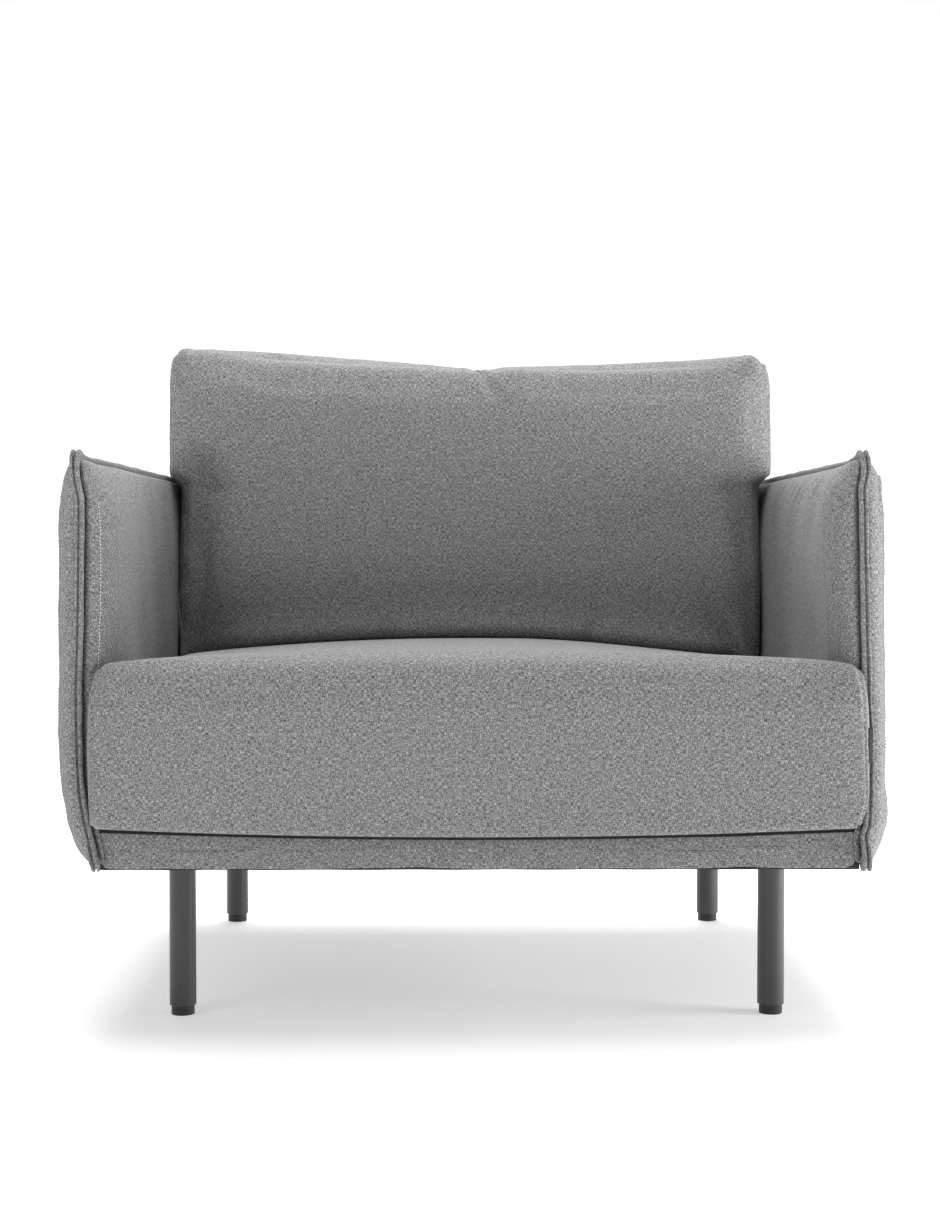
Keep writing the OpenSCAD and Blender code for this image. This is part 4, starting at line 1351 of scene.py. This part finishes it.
def base_band():
    """The padded fabric front of the base: a soft-edged face that folds back all round."""
    lo, hi = band_lo, band_hi
    x0, x1 = lo.x + 0.0003, hi.x - 0.0018
    z0, z1 = lo.z + 0.0003, hi.z
    middle = (z0 + z1) / 2
    outline = round_outline((x0, z0), (x1, z1), (0.013, 0.015, 0.004, 0.004), 0.005)
    middle_z = np.full(len(outline), middle)
    spine = np.stack([np.clip(outline[:, 0], x0 + 0.024, x1 - 0.024), middle_z], 1)
    stack = soft_front(outline, spine, lo.y, hi.y - lo.y, 0.0035)
    stack[..., 1] += ripple(stack, 0.09, 71) * 0.0003
    across = np.clip(1 - (stack[..., 0] / seat_hi.x) ** 2, 0, 1)
    gap = -0.0004 + 0.18 * (band_lo.y - seat_lo.y)
    lower = np.maximum(z1 - (seat_lo.z - NOSE_SAG * across - gap), 0)
    stack[..., 2] -= lower * np.clip((stack[..., 2] - middle) / (z1 - middle), 0, 1)
    dress(tube("base_front_band", stack), "frame", "cover_fabric", "base_band", fill=0.9)


def base_wrap():
    """Black lining turned up round the front rail, behind the band."""
    rail_lo, rail_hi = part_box("rail_front")
    gap, thick = 0.0002, 0.0008
    y0, y1 = rail_lo.y - gap, rail_lo.y + 0.013
    z0, z1 = rail_lo.z - gap, rail_hi.z + gap
    cut = [(y1, z1), (y0, z1), (y0, z0), (y1, z0), (y1, z0 - thick), (y0 - thick, z0 - thick),
           (y0 - thick, z1 + thick), (y1, z1 + thick)]
    rings = []
    for x in steps(rail_lo.x - 0.0001, rail_hi.x + 0.0001, 0.012):
        slack = 0.0002 * math.sin(x * 60)
        rings.append([(x, y, z + (slack if z < z0 else 0)) for y, z in cut])
    dress(tube("base_front_lining", rings), "frame", "black_lining")


def weld_beads():
    """The bead where each leg tube meets its plate."""
    cut = [(0.0158, 0.0), (0.0185, -0.0004), (0.0182, -0.0016), (0.0165, -0.0030), (0.0158, -0.0034)]
    for name in LEGS:
        lo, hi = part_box("leg_" + name)
        x, y = (lo.x + hi.x) / 2, (lo.y + hi.y) / 2
        top = hi.z - 0.004
        rings = []
        for i in range(96):
            turn = 2 * math.pi * i / 96
            lap = 1 + 0.010 * math.sin(turn * 24)
            across, along_y = lap * math.cos(turn), lap * math.sin(turn)
            rings.append([(x + r * across, y + r * along_y, top + z) for r, z in cut])
        dress(tube("weld_" + name, rings, capped=False), "frame", "leg_powder_coat")


def with_lines(lines, a, b):
    """Grid lines with two more at a hole's edges, and none too close to them."""
    clear = lines[(np.abs(lines - a) > 0.005) & (np.abs(lines - b) > 0.005)]
    return np.sort(np.concatenate([clear, [a, b]]))


def stretched_cloth(name, node, sag, seed, holes=()):
    """A sheet stapled across the frame, slightly slack between its edges."""
    lo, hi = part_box(node)
    xs, ys = steps(lo.x, hi.x, 0.012), steps(lo.y, hi.y, 0.012)
    for x0, x1, y0, y1 in holes:
        xs, ys = with_lines(xs, x0, x1), with_lines(ys, y0, y1)
    xs, ys = np.unique(xs.round(6)), np.unique(ys.round(6))
    x, y = np.meshgrid(xs, ys, indexing="ij")
    edge = np.minimum(np.minimum(x - lo.x, hi.x - x), np.minimum(y - lo.y, hi.y - y))
    free = smooth(edge / 0.08)
    at = np.stack([x, y], -1)
    z = (lo.z + hi.z) / 2 - sag * free * (1 + 0.5 * ripple(at, 0.15, seed))
    z = z + 0.0003 * ripple(at, 0.03, seed + 1)
    points = np.stack([x, y, z], -1).reshape(-1, 3)
    faces = []
    for face in grid_faces(len(xs), len(ys)):
        cx, cy = points[list(face), 0].mean(), points[list(face), 1].mean()
        if not any(a < cx < b and c < cy < d for a, b, c, d in holes):
            faces.append(face[::-1])
    cloth = mesh_object(name, points, faces)
    drop_loose(cloth)
    shell(cloth, 0.0008, 0.0)
    dress(cloth, "frame", "black_lining", node)


def drop_loose(piece):
    """Deletes the points that no face uses."""

    def drop(work):
        loose = [v for v in work.verts if not v.link_faces]
        bmesh.ops.delete(work, geom=loose, context="VERTS")

    reshaped(piece, drop)


def base_cloths():
    """The dust cover, cut out round the legs, and the deck cloth."""
    holes = []
    for name in LEGS:
        lo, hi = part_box("leg_" + name)
        holes.append((lo.x - 0.001, hi.x + 0.001, lo.y - 0.001, hi.y + 0.001))
    stretched_cloth("dust_cover_cloth", "dust_cover", 0.0009, 81, holes)
    stretched_cloth("deck_cloth_sheet", "deck_cloth", 0.0, 83)


# Which CAD nodes have which material, by how their names start.
CAD_LOOKS = {
    "frame_timber": ("rail_", "center_rail", "cross_board", "corner_blocks"),
    "plywood": ("arm_board", "back_board"),
    "elastic_webbing": ("webbing_",),
    "leg_powder_coat": ("leg_front", "leg_rear"),
    "glide_plastic": ("glide_",),
    "zinc_steel": ("leg_screws", "frame_bolts", "frame_washers", "insert_nuts"),
}


def cad_finishes():
    """Gives the CAD nodes that stay their materials."""
    for name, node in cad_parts.items():
        for kind, starts in CAD_LOOKS.items():
            if name.startswith(starts):
                for slot in node.material_slots:
                    slot.material = MATERIALS[kind]


make_camera()
make_studio()
MATERIALS = make_materials()
cad_finishes()
base_cloths()
base_band()
base_wrap()
weld_beads()
for arm_side, arm_name in ((-1, "left"), (1, "right")):
    arm(arm_side, arm_name)
back_panel()
seat = seat_cushion()
seat_tag()
back_cushion(seat)
